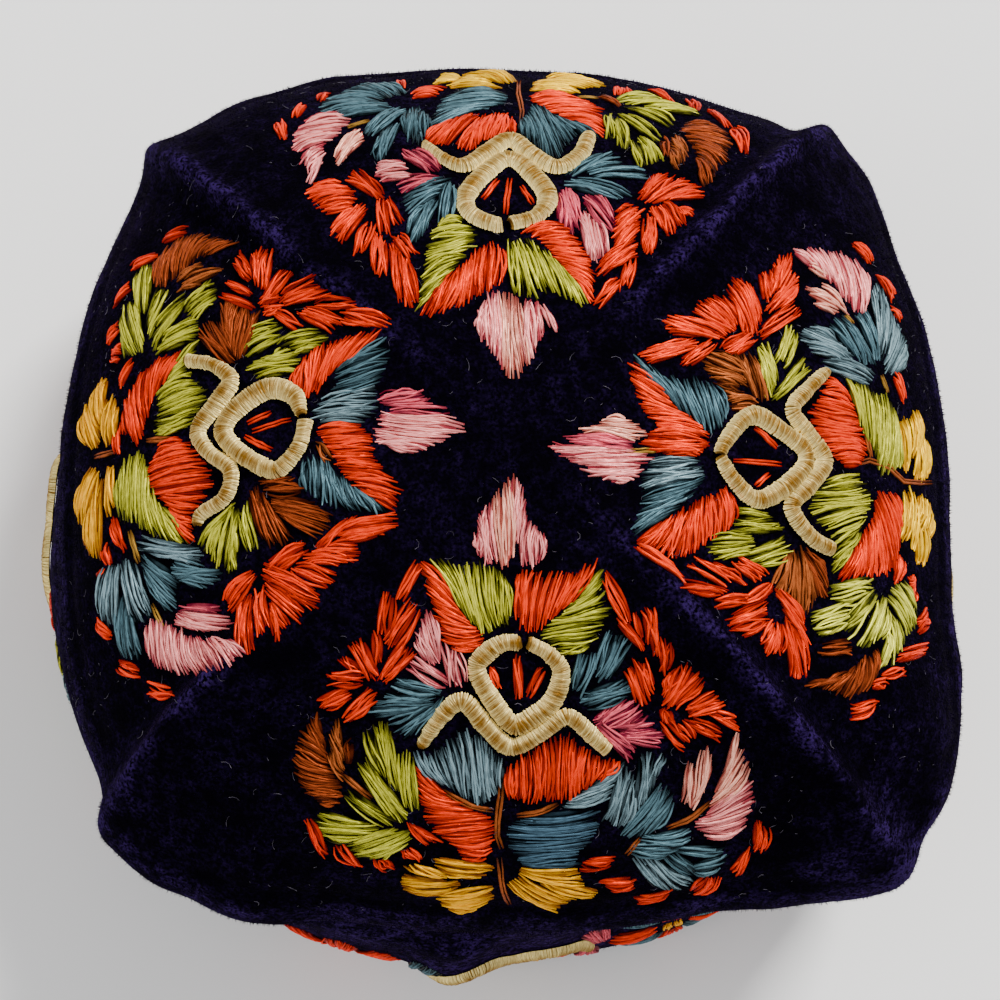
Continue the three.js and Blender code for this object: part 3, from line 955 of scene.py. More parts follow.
# The crown's stitches, side by side: across from the middle line and out from the crown's top.
FRONT_CHART = """
PINK -6,18.2 -5.2,14.5 -3.4,12.2 > -5.7,20.6 -4.6,22.2 -3,22.2
BLUSH -3.4,12.2 -1.2,9.8 .3,7.9 > -2.8,22.5 -1.4,23.2 -.2,21.2
PINK .3,7.9 1.5,9.5 2.1,12.6 > -.1,18.4 .5,18.9 1.3,17.6 ; 1.9,14.4 3.6,16.2 5.5,18.8 > 1.4,22.8 3.4,23.1
  5.2,21.2
GREEN -13.8,21.8 -9.7,22.8 -5.6,22.7 -2.8,23.6 -1,26 > -8.6,30.6 -5.2,33.9 -3.2,33.1 -2,32.9 -.8,31.2
RED -15.3,21.9 -14.3,26.6 -13.2,31 -12,34.8 -9.6,36.7 > -10.6,28.4 -9,31.2 -6.8,33.4 -5.3,34.8 -7,36.7
RED -16.3,21.9 -15.3,23.2 > -19.8,28.4 -18.3,27.9 ; -21.8,27.3 -20.2,27.4 > -22.8,33.6 -21,34.2
RED -17.6,28.2 -15.4,30.2 > -22,34.6 -19.8,36.8 ; -18.6,34.4 -16.6,37.4 > -22.6,40.9 -21.8,41.7
RED -23.6,33.2 -22.6,33.6 > -23.4,38.5 -22.6,38.3 ; -27.6,35.1 -25.4,34.6 > -24.6,41.2 -22.9,40.8
RED -29.4,37.4 -28.2,37.3 > -26.6,39.8 -25.4,39.6 ; -31.2,39.8 -31,41.8 > -25.4,40.3 -25.6,41.7
RED -33.6,44.4 -31.8,45.9 > -28.4,42.3 -27.2,43.9 ; -28.6,46.2 -28.4,48.4 > -24.4,42.5 -23.3,44.6
PINK -16.5,35.8 -15.2,30.8 -13.4,30.9 > -14.8,38.6 -13.2,39 -12.6,37.5
PINK -12.4,35.6 -9.6,37 > -10.8,43.1 -8.3,42.6 ; -18,39.4 -17,37.6 > -12,43.3 -10.9,42
SLATE -19.6,41 -21.4,44 > -12.4,43.6 -13,44.4 ; -21.5,44.3 -24.6,46.3 -23.6,47.6 > -13.8,44.3 -14,45
  -15,46.3
SLATE -21.2,48.4 -18.6,51.4 -17.4,50.6 > -14.8,46 -13.4,46 -12.2,44.6
RED .5,25 2.8,24.2 6.5,24.6 10,24.8 13.8,23.2 > .3,31.6 1.8,33.9 4.2,33.4 6.8,31 9.4,29.4
GREEN 14.8,23.8 14.6,27.5 15.3,31.4 13.9,34.8 11.4,37.2 > 11.2,28.2 8.6,31 5.4,33.6 5,35.2 8.2,37.9
RED 14.9,26.2 15.5,24.7 > 17.9,32.8 19.6,33.2 ; 17,33 18.2,32.6 > 21.2,37.5 21.8,37.2
RED 20.2,31.6 22.9,31 > 21.4,35.8 23.6,36.6 ; 22.4,31.2 23.4,33 > 23.4,38.8 24.2,38.8
RED 24.4,36 26.6,37.2 > 24.8,41 25.6,41 ; 18.8,41.2 20,39.6 21.6,39.4 > 20.3,46 21.6,46.7 23.3,43.6
RED 26,41.8 28.2,40.4 30.4,41.2 31.4,43.8 > 25,44.2 25,45.8 25.6,47.2 27.8,46.8
RED 33,44.7 34.8,46.6 34.4,48 > 29,47.2 28.6,48.2 30,48.6 ; 36.6,49 37.8,51.8 > 33.2,48 33,48.8
RED 34.8,51.2 34.4,53.3 > 29.6,49.2 28.8,50.4 ; 24.4,47.4 26,47.8 > 25.4,50.2 26.4,50.4
RED 24.4,50.6 25.6,50 > 28.4,54.7 29.2,53.4 ; 26.6,50.4 28.6,49.9 > 29.2,53.4 30.4,52.8
SLATE 10.8,38 13.4,38 > 9.4,42.8 10.6,44.8 ; 15,34.6 17.6,34.8 19.3,36.6 > 13.4,40.8 14.2,42 15.6,42.4
SLATE 18.2,42.2 20,43.6 18.6,45.2 > 11.2,44.8 11,46 12.6,47.4
ROSE 16.2,46.9 19.9,46.2 22,49.2 > 13,49.2 13.6,50 16,50.8
ROSE 22,50 24.8,52.2 24.4,54.5 > 17.5,50.6 17.2,51.8 17.6,52.6 ; 20.6,54.8 18.8,56.8 > 14.6,50.4 13.2,50.2
RED -.3,38 .5,38 > -.1,45.2 .8,45 ; -4.4,40 -3.8,39.6 > -3.4,43.4 -2.9,43.2 ; 4.4,39.8 5,40.6 > 1.6,44.8
  2.5,45
BLUE -17.6,54.2 -14,54.6 -10.8,52.2 -8.4,50.8 -5.2,53 -2.6,56.2
  > -13.6,59.6 -10.6,61.2 -7.6,63.8 -6,64.6 -4,62.6 -2.6,60.6
RED -17,56.6 -16.7,61 -15.9,65 -14.6,68.8 -11.4,72 -8.6,75.8
  > -12.6,61.6 -10.4,64.2 -7.4,66 -4.5,68 -4.4,72 -5.8,76
RED -1.8,58.6 2.6,54.6 7.8,51.9 11.2,54.4 14.2,56.2 17.3,56.8
  > -1.6,62.6 1.4,64.4 5.2,63.8 8.8,64.2 10.8,62.8 14.6,59.4
BLUE 18.4,57.2 17,60 15.4,63.8 > 12.4,61.8 9.2,64.6 7.8,65.8
STEEL 13.6,66.2 13.8,69.4 12.8,72.4 11,75 10.2,78.4 > .8,67.6 -1.4,70 -1.2,73.2 0,76 2.2,78.4
RUST -33.6,46.2 -36.2,50.6 -37.5,55.6 -36.2,59.6 -33.6,63.2 > -32.8,51 -32.2,54.4 -30.6,58.4 -29.8,61.6
  -30.8,63.4
BROWN -29.8,47.6 -31.4,51 -31.2,54 > -29.4,53.4 -29.4,56.4 -29.3,58.2
RUST -28.2,51.6 -27.6,51.8 > -28.8,55.8 -28.2,56
GREEN -25.4,50.6 -23.8,49.4 -22.2,48.6 -21.3,51 > -22.6,58.4 -21.8,58.8 -20.6,60.6 -19.8,61
GREEN -27.2,57 -25.6,55 -23.6,58 > -20.6,67.2 -19.4,67 -18.6,65.6
GREEN -20.4,55 -18.8,53.8 -17.4,55.4 > -19.2,63.6 -18,65 -16.6,65.2 ; -29.2,62 -28.2,60.4 > -22.4,68
  -20.6,67.6
GREEN -33.9,64.6 -34.3,67.6 -32.6,70.4 > -26.4,67.6 -23.4,69 -27.4,70.6
GREEN -27.8,70.6 -29.2,72.6 -26.8,74.6 -22.6,74.8 > -21.2,69.2 -18.8,69.4 -18.4,71.2 -20.2,73.2
BLUE 21,56.2 22.4,55 23.8,57 > 20.2,66.6 21,66.6 22.8,63.6 ; 24.6,56.4 25.2,55.9 > 23.4,60.4 24.2,59
BLUE 17.4,58.2 19.4,58.8 19.9,62.5 > 15.2,68.8 17.2,69.8 19,69
SLATE 24,61.6 26.2,62.6 27,65.4 > 18,71 20,72 23.2,71.2 ; 29.8,70.4 29.4,73.4 25.6,76 > 22,72.2 20.6,74.2
  20.2,75.8
BLUE 20.1,76.8 21.8,76.6 24.4,77.4 > 24.8,84.4 28.4,85.2 31,83
SLATE 25.4,76.6 27,75.2 > 30.4,81.4 32.4,79.8 ; 27.4,74.4 28.4,75.6 > 36.2,74.4 35.6,76.4
SLATE 30.6,78.6 31.4,80.4 > 37.4,76.4 35.4,80
BLUSH 29.4,57.4 30.4,57.6 > 28.6,64.8 30.2,65.4 ; 31.6,55.4 32.6,54.8 33.6,58 > 29.8,65.8 30.6,66 32,62.6
BLUSH 37.2,52.2 38.4,55.4 39.8,59 > 35.6,60.4 34.8,62.6 33.8,66
PINK 39.9,60 41,64.8 40,69.4 37.6,72 > 34.6,66.4 31.4,69.2 31.4,70.4 35,73
BROWN along 19,76 21.4,72.4 ; along 26,70.4 30,68.4 33.6,65 ; along -2.6,60 -3.4,70 -2.6,74
BROWN along -3,76 -2.4,83 -1,89.6 ; along -12.6,61.4 -8,64.8 -4,66 ; along 0,67.2 4,66.6 7,65
BROWN along -29.4,57.8 -24.6,62.6
YELLOW -14,75.4 -13.8,77.2 -12.4,79 > -4.4,77.4 -4.8,79 -7,80.8 ; -19.2,77.2 -17,77 > -12.4,79.6 -11.6,80
YELLOW -19.8,79.2 -19.9,81.4 -18.4,83.6 > -12,81.2 -10,82 -10.6,84
YELLOW -14,84.4 -13.6,86.4 -12.6,89 -10.8,91.6 > -4.3,82.6 -4.2,85.2 -5.2,88.2 -8,91.4
YELLOW .8,78.6 1.2,80 > 10.6,79.4 11.8,83.6 ; 5.4,81.4 4.4,82.8 > 14.9,85.2 13.6,87.6
YELLOW .8,80.8 -1.2,82.6 > 9.8,88 7,92.4
RED -36,66.4 -35.2,66.2 > -33.6,74.4 -32.6,73.4 ; -31.2,71.8 -30,71.6 > -28.4,76.4 -27,76.6
RED -24.8,75.4 -22.6,75.2 > -22.8,77.6 -21.2,77.4 ; -19.8,73.6 -18.4,73.4 > -18.6,75.4 -16.2,75.8
RED -18.6,68 -17.6,68.4 > -15.6,72.4 -13.2,71.8 ; 42,68.8 44.2,71.2 > 42.2,75 43.4,75.4
RED 40.8,75.2 41.3,76 > 38.2,80.4 39.8,81.2 ; 33.2,81.8 36.6,82 > 31.2,85.6 33.4,87.2
RED 27.4,85.4 26.6,88 > 21.4,87.4 22,90.8 ; 14.6,82.2 16.6,85 > 20.4,81.6 20.6,85
RED 16.8,76.6 16.2,79 > 12.2,77 11,79.4
"""

BACK_CHART = """
PINK -8.4,17.8 -7.4,18.8 > -6.4,22 -5.2,22.4 ; -6,17 -5.2,16 -3.2,12 > -5.2,22.6 -3.8,23.4 -2.4,22.8
BLUSH -3.2,11.8 -.4,9.2 .9,11.2 > -1.8,23.2 .2,25 1.4,25
PINK 1.2,11.6 2.3,13.8 4.3,15.8 5.1,18.4 > 1.8,24.4 2.2,25.6 3.4,24 4.8,21.6
GREEN -13.6,23 -11.6,23.2 -9,25 -6.8,25.2 > -9.2,29.8 -6.6,33 -4.2,35 -3.2,35.6
GREEN -6.2,26.6 -5,24.4 -2.8,24.4 -.9,25 > -3.6,34.6 -2.6,35 -1.6,34.6 -.4,35.2
RED -14.3,23.2 -14.5,28 -14.2,31.5 -12.2,35.4 -10,38.6 -6,39.6
  > -11.4,27.4 -9.4,30.4 -7.4,33.2 -5.4,36 -3,37.4 -4.6,39.2
RED -15.6,22 -14.6,23 > -19.6,27 -19.2,28.6 ; -21,26.2 -19.2,26 > -22.4,31.6 -20.6,31.6
RED -18,30.2 -15.4,28.6 -16.6,31.6 > -22.2,32.6 -22.2,35.4 -22.2,37
RED -18.4,32.6 -18.8,36 -19,39 > -23,38.2 -23.4,41 -23.3,43 ; -18.9,39.4 -19.2,42 > -23.3,43.2 -21.6,43.8
RED -25.6,33.8 -24.2,33 -23.4,34.6 > -26.4,38.6 -25.6,41.2 -24.2,41.2
RED -29.6,38.4 -28.4,37.2 -27.6,39 > -28,44 -26.4,43.6 -25.4,42.6 ; -31.8,39.6 -30.2,39.4 > -29,45
  -27.6,44.6
RED -33.6,43.4 -32.4,42 > -30.6,43.8 -30.4,43 ; -35.6,47 -34.6,49.4 -32.4,51.2 > -28.4,45.4 -26,44.4
  -27.2,46.8
RED -31.4,51 -28.6,52 -26.6,51.8 > -25.6,44.6 -24.2,44.8 -24.2,47
PINK -17.8,34 -16.8,32.4 -14.8,31.8 -13.8,33 > -16.6,38.6 -15.4,40.8 -13.4,42.2 -13,40.6
ROSE -18.7,41.5 -18.8,38.6 -17.8,37.2 > -17,45.8 -15.6,46.2 -13.4,44.8
ROSE -12.8,41.6 -11.6,37 -9,39.6 > -11.6,46.8 -11,47 -9.4,46
SLATE -22,46.2 -19.4,45.2 > -13,50 -10.2,48 ; -25.4,50.8 -25,52.4 -23.8,53.8 > -16,50.4 -15,51 -14.6,52
SLATE -20.4,54 -19.8,56.8 -17.6,57 > -14.6,52 -12,51 -10.8,50.6
RED 1.2,27 4.4,25 8,22.6 11.4,21.4 15,20.5 > .9,33.2 2.8,34.4 5,33.4 7.8,30.4 10.6,27.6
GREEN 15.6,21.8 14.3,28.4 13.9,32.4 13.6,35.6 11.6,39.4 > 11.4,27.4 8.6,31 6.6,33.8 5.8,36.2 8.2,40.2
RED 15.7,22.8 17,21.8 18.8,23.6 > 17.4,31.4 20,34.6 20.6,34.4 ; 16,33 17.4,31.8 > 18.8,36.8 20,35.8
RED 20.9,28.6 22.6,28.2 23.4,30 > 21.2,35.4 22.8,37 23.6,36 ; 24.8,33.2 26.8,32.8 > 23.4,38.6 25.2,39.4
RED 28.6,35 30,36.6 30.8,39 > 24.6,42.4 25.4,43.8 27.2,42.4
RED 27.4,43.2 26.9,45.6 27.6,47.6 29.6,49.4 > 31.4,41.6 34,44.4 35.2,46.8 34,49.4
RED 18.4,39.2 19.6,38.6 > 20.6,45 21.4,44.8 ; 20.6,36.8 21.8,36.8 > 21.6,45 22.6,44.8
RED 21.6,45.6 23,45.2 > 26.4,52.6 28.6,50
SLATE 9.4,40.2 12.2,38.8 > 9.2,47.4 10.8,48.6 ; 14.2,37.8 16.4,34.8 17.6,37.4 > 12,44.2 12.8,44.4 14.4,42.8
SLATE 17.2,41.6 18.3,44.6 17.4,46 > 11,46.4 10.4,48.8 11.2,49.6
ROSE 18.4,46.2 19.2,48.6 > 12,48.4 12,50.2 ; 18.2,55 17.8,57 15.6,57.4 > 13.6,50.8 12,51.4 11.4,52
PINK 22.4,49.2 23,51.6 22.4,53.8 > 16.4,49.8 17,51 18.4,54
RED along .3,41 -.6,49.4 ; along -4.6,43.4 -2.6,47.6 ; along 4.2,44.6 1.4,49
SLATE -17.2,61.6 -13.2,61.4 -11,58.6 -9,54.8 -5.8,57.6 -3,61.6
  > -11.4,66 -8.6,68.6 -6.8,71.4 -5.8,71.4 -4.6,68 -2.8,65
RED -18,61.8 -18.2,65.6 -18.2,69 -17.2,72.6 -13.8,75.4 -11.6,77
  > -13.4,65 -10.4,67.8 -8,70.6 -5.8,73 -5.4,75.6 -6.4,77.2
RED -2,62 3,59.8 7.2,56.4 8.8,58 > -1.6,65.4 0,67.8 3.4,67.2 5.4,64.8
RED 10.4,58 14.4,58.6 13.8,61 > 4.6,67.6 6.8,67.8 11.4,64
SLATE 13.4,63.4 12.6,68 11.4,71.6 10.2,75 7,78 > 3.4,70 .4,71.8 -.2,73.6 -.6,75.6 1.4,78
RUST -36,49.4 -38.4,54.6 -40.4,58 -41.8,63 -41.6,67 -38.6,70.4
  > -35,56 -35.4,58 -34.8,62 -34,65.4 -33.4,66.8 -35.4,70.2
BROWN -30.8,53.2 -33,57.4 -33.4,60 > -30.2,58 -31.2,63.6 -32.4,64.8
RUST -30,57.6 -29.2,57.2 > -29.8,63 -28.6,62
GREEN -29,56.4 -27,55 -24,54.4 > -26,62 -25,62.6 -23.6,60.4 ; -29,63.4 -27.4,61.4 > -23.4,69.8 -21,70.2
GREEN -23,60 -21.8,58.4 -20.6,60 > -22.2,67.2 -21,68.6 -20.4,67 ; -19.8,62 -19,61 > -20,70 -19,68.6
GREEN -31.8,71 -31.2,67 > -26.4,74 -23,72.6 ; -37.8,73.2 -36.6,76 -33.6,77 > -29,72.6 -27,74.4 -28,76
GREEN -31.6,76.8 -29.6,79.8 -26.6,80.6 > -24,74.4 -21.8,76.6 -23.2,78.6
RUST -21.8,73.2 -22,74.6 > -18,76.6 -19,78
SLATE 21.4,56.4 22.4,54.6 23.8,56.4 > 18.8,64.6 20.2,65 22.6,61 ; 13.6,63.6 16.2,58.6 18.2,62 > 14.2,67
  16,71 18,69
SLATE 23.4,62.4 25,61.6 25,64.4 > 17.8,69.6 19,71 21.6,69 ; 28.4,68.4 33.8,71 > 21,69.6 22,73
SLATE 33.8,71.6 33,76 > 24,72.6 22.6,75 ; 32.6,76.4 29.4,81 > 23,74.6 21,75.6
SLATE 28.6,81.6 25.6,84 21.6,83 > 22.4,75.6 20.6,75.8 18,77.4
BLUSH 28.6,56.6 30.2,54 30.2,58 > 25.6,60.4 26.4,63.6 28,63.2
PINK 34.8,49.6 35.6,54 37,56 > 33.4,54.6 33,58.6 32.6,60.4
PINK 37.6,58.4 38.4,62.4 37.4,66.6 34.6,69.4 > 31.6,61.6 29.2,65.6 28.6,68.4 31,70
TAN along 24.6,66.8 28.6,65 ; along -18,76.4 -14,76.2
BROWN along -3,65 -3.4,70 -3,76 -3.4,84
RED 39.8,62.4 40.6,62.6 > 41,70 42.2,68.4 ; 38,69.8 39,71 > 36.6,74.4 37.6,75.4
RED 33.6,75.8 34.8,77 > 32.6,80 33.6,80.6 ; 16.8,75 16.4,78.6 > 13,75.4 11,79.4
RED 18.4,80.6 19.4,80.8 > 18.8,85 19.8,84.6 ; -45.4,60.6 -44,61 > -44.4,70 -43,68
RED -42.8,69 -41.8,70 > -40.4,78 -39.2,77 ; -37.2,75.6 -36,76 > -37.4,82 -36.2,81
RED -33,77 -31.6,77.6 > -30,85.6 -28.4,84 ; -25,79 -21.6,78.8 > -24,83 -21.6,82.6
LEMON -14,78.2 -14.2,80.4 > -6,78.4 -6,81.4 ; -13.4,81 -19.4,83.4 -18.4,86.4 > -6.2,81.6 -7.4,84 -9.6,86
LEMON -17.6,86.8 -15,89.4 > -9,86 -9.4,88.6 ; .2,79 1.6,81.4 3.4,84.4 > 9.4,79.2 9.4,81.6 7.4,84.8
LEMON 13,81.4 11,88 > 8.6,82.6 7.6,84.6 ; .2,82 -2.4,83 > 7,86 2,95
"""

LEFT_CHART = """
ROSE -6.2,17.2 -5.8,15 -4.4,13.6 > -5.4,21.4 -4.8,22.4 -3.8,20.6 ; -3.6,10.8 -2.4,11 > -3.4,20.8 -2.6,20.6
PINK -1.6,9.4 -.4,7.4 1.2,9.6 > -2.4,22.2 -.6,22 .4,22.6 ; 1.4,10 2.8,12.4 4.4,16.2 > .6,22.8 2.4,22.4
  3.6,20
SLATE -15.6,22 -13,21.2 -10,21.6 -8,22.6 > -10.8,28 -9.4,30.2 -7.4,29.8 -5.6,31
BLUE -7.2,22.8 -5,22.6 -3,22.8 -1.2,24.4 > -4.8,31.8 -3.6,32.2 -2.2,33.6 -1,32.2
RED -16.6,22.6 -15.8,28 -14.6,31.4 -12.6,35 -10,37.4 > -11.2,28.4 -9.4,31 -7,33 -5.2,34.8 -7.4,37.4
RED -18.8,21 -17.6,21.2 -17.4,23.6 > -20.4,28 -19.8,29.4 -18.8,29.2 ; -22.4,27.8 -20.8,26.8 > -22.8,34.4
  -21.4,34.4
RED -18.8,29 -17,31.6 > -21.8,36 -20.4,37.6 ; -25.4,34.4 -23.6,31.8 > -23.4,40.4 -22.4,39.6
RED -27,35.4 -25.8,35 > -24.6,41 -23.4,40.6 ; -18.6,36.8 -17,37.2 > -21.8,42.8 -20.8,41.6
RED -27.8,39.2 -29.4,41.2 > -22.8,43.4 -23.4,44.6 ; -31.8,43.2 -33.4,45.4 -33,47.4 > -25.8,43.8 -26,45
  -28,46.4
RED -34,50 -31.6,51 > -28.6,46.6 -27.4,47.4 ; -28.2,52 -27,51.2 > -25.4,46.6 -24.4,46.4
RED -26,53 -25,52.6 > -22.6,45.8 -21.6,45.6 ; -24.4,41 -21.4,41 > -24,45 -20.6,43.6
GREEN -17,34.2 -15.6,32.2 -14,33.6 > -15.6,40.6 -14.4,38.8 -13.2,37.4
GREEN -14.6,40 -12.6,36.6 -9.8,37.8 > -12.8,41.6 -11.6,46 -9.2,44.4
GREEN -19.4,42.4 -17.6,40.2 -16,40.6 > -18,47 -14.6,47.2 -13,46
RUST -20.8,45 -22.4,47.4 -24.4,51.2 -23,52.6 > -14,47.4 -13.2,48.2 -14,49.2 -15.6,50.6
RUST -20.2,52 -20,55.8 -18,57 > -14.8,49.6 -12.6,49.2 -12,50
RED -.4,26.4 1.4,23.6 5.4,22.8 8.4,20.4 10.4,18.6 14.4,18.6 > -.2,31.6 1,32.4 4.4,30 6.4,29 8.4,27.4 11.4,24
SLATE 15.2,20 15,22.6 14,28 12.6,32 11,34.4 > 12,24.6 9,28 6,31.4 5.4,33.4 6.4,34.8
BROWN 2.8,32.2 3.6,32.6 > 5.8,30 6.4,30.4
RED 15.6,19 17,18 19,21 > 17.4,27.6 19.4,28.2 20.4,26.4 ; 16,25 17,27.4 > 20.6,31.8 22,31.4
RED 20.4,24.6 22.6,24.2 24,27 > 20.8,30 22.6,33.2 23.8,33 ; 25.6,27.8 27.8,29 > 23.9,34.8 25.2,35.4
RED 19.8,34.6 21,33.4 22.6,35 > 23.2,40.4 24.8,38 24.8,37.4
RED 28.2,31.6 30.4,30.6 31.8,33 > 23.4,41 25,40.6 26.6,40 ; 32,33.2 33.6,34.2 > 26.6,40.2 28,39.8
RED 34,35.6 36.2,38.2 > 30.4,38.4 31,39.2 ; 34.6,38.8 35.6,41.2 > 28,40.6 28.2,41.8
RED 38.8,42 38,43.6 37,45.2 > 28.6,42.6 28.8,44 30,44.8 ; 24.6,43 26,42.4 > 28.8,48.4 31.6,46.4
RUST 8.6,36.8 11.4,34.4 > 8.8,42.6 11,41 ; 13.2,33 16.4,29.4 19.2,32 > 12,39.4 13,40 15.2,38.4
RUST 19,36.2 20.4,38.4 19.4,41.4 > 13,41 10.4,43.2 11.4,44.4
GREEN 20.6,42.4 20.8,44 > 12.4,44.4 14.6,46 ; 22,46 24.2,46.6 22.6,50.6 > 17,46 13.6,46.6 14.4,48.4
GREEN 21.4,51 19,53.6 > 15,48.6 12.8,46.8
RED along -1.3,37.5 .6,44.4 ; along -2.6,41.2 -1,45.4 ; along 4,40.6 1.4,45.8
GREEN -17.2,57.2 -13,58.6 -10.8,58.4 -6.6,54 -4,55.4 -1.2,58
  > -12.8,61.6 -9.8,63 -7.8,65 -5.6,64.6 -2.4,65 -.2,64.2
RED -15.6,60.4 -14.6,64.6 -13.6,67.4 -11.6,70.4 -8.6,72.6 -4.4,74.4
  > -10.8,63.8 -8.2,66 -4.8,67.4 .4,69 -1.6,71.4 -1.8,74
RED -3.2,74.6 -2.2,75.6 > 1.2,74 1.4,75.2 ; -16,73 -15,72.2 > -11.6,76 -10.8,75
RED .6,60 3.6,55.2 8.4,51.8 11.4,53 14,55 19,55 > 1.2,63.4 3.6,64.6 6.4,66.2 9,65 11,62.6 15,58.4
GREEN 19.2,55.8 18.6,59.6 17.4,63.4 14.6,68 14.4,70 13.8,72 10.4,73.6
  > 13,61.4 10.4,64.6 3,67.6 2.4,69.4 3,71 4,72.6 7.6,74.6
RUST -36.2,51 -37.4,56 -38.8,59 -38.8,62.8 -37.6,66.6 -35.4,69.6
  > -34.6,56 -34.2,59 -32,62 -30.2,65.4 -30,68 -32,69.6
BROWN -32.8,58 -31.6,57 > -31,62.4 -30,63.4 ; -31,54 -30.2,53 > -29.8,62 -28,62.4
BROWN -28.8,57.6 -28.2,57.6 > -28.4,62.6 -27.8,62.4
GREEN -28.4,56 -26.8,54 -24.4,54 > -25.8,60 -24,61 -21.8,58.4
GREEN -22,58.4 -20,57.2 -17.4,57.6 > -19.4,65 -17.6,65.4 -15.6,66
GREEN -27,62.2 -26,60.4 -24,61.6 > -21,67.6 -18.6,68 -16.8,66.8 ; -29.4,67.4 -28.4,65.2 > -21.8,69.4
  -19.6,68.6
GREEN -34.6,70.2 -35,72.8 -33.2,74.6 > -26,69.8 -24.6,71.4 -27,73
GREEN -27.6,73 -27.8,76.4 -25,77.4 -20.4,76.2 > -18.4,70.2 -16.8,71 -17,73.6 -17.6,75.4
BLUE 20,54.6 21.6,52.6 23,55 > 17.8,66.4 19.4,67.2 21,60
SLATE 23.8,52 24.8,48.6 27,52 > 22.2,59 23.8,59 25.4,57 ; 25,57.8 29.8,58.4 29.6,61 > 20.4,65.6 22,66.2
  24.6,64
BLUE 30.4,63 31.8,65.4 31,67.6 > 22.2,68 21,70.2 22,71.6
SLATE 37,65.6 37.8,68.4 36,70.6 > 29.4,68.6 27.4,70 27.6,72
BLUE 32.6,71.6 31.4,74.6 29.4,77.4 > 21.8,72 21.6,74.2 22.6,76.6
ROSE 30.2,48.6 31.2,48.8 > 29.6,56 30.6,57
PINK 32.2,46.8 33.6,46.2 33.9,52.6 > 30.6,57 31.6,57.8 32.6,57
PINK 38.6,42.8 40.6,47 41.4,52 40.6,57 39.4,61.4 37.4,64
  > 36.4,47 35,54.6 33.2,58.6 32.2,61.4 31.6,63 33.4,64.6
TAN along 29,63.4 33.4,60.6 ; along 16,69.6 21.8,66.8
BROWN along .6,61 .2,67 ; along 1,75 1,82
YELLOW -7,75.8 -9,77.6 -8.4,79.6 > -2.4,75.6 -.2,77.4 -2,79.4
YELLOW -13.4,79.8 -13.6,81.8 -11.6,84.4 > -8,80.4 -5.4,80.4 -6.4,83
YELLOW -9.8,84.4 -9.6,87 -7.6,88.6 > -3.8,80.6 -.4,81.4 -2.2,85.6
YELLOW 4.4,75.4 4,77.4 > 11,74.4 13,76.4 ; 5.4,78.6 6,80.6 12,82.6 > 19.6,77.6 18.8,80.6 16.4,83.2
YELLOW 4.4,80.4 3,82.2 5.4,86 > 13,83.2 11.8,86 9.6,88
RED -41,62.4 -39.6,62.6 > -40.6,67.6 -39,68 ; -37.4,69.2 -36.2,69.2 > -36.2,76.6 -35,76
RED -32.4,76.4 -31,75.6 > -30,80.4 -28,80.6 ; -24,78.6 -22.6,78 > -22.4,81.8 -20.4,81.4
RED -20,76.6 -16,76.8 > -19,79 -17,79 ; 43.4,58.4 45,57.6 > 42.2,63.4 44.4,63.6
RED 39.6,66 41.2,65.4 > 37.8,71 39.4,71.4 ; 33,73.8 34.2,73.6 > 30.2,77.8 32.6,77.4
RED 21.4,74 21.4,75.6 > 18,75.4 19,77 ; 19.2,70.4 18,72.4 > 13,74 15,74.4 ; 21.8,76.6 26.8,76.8 > 22.6,78
  25.6,78
"""

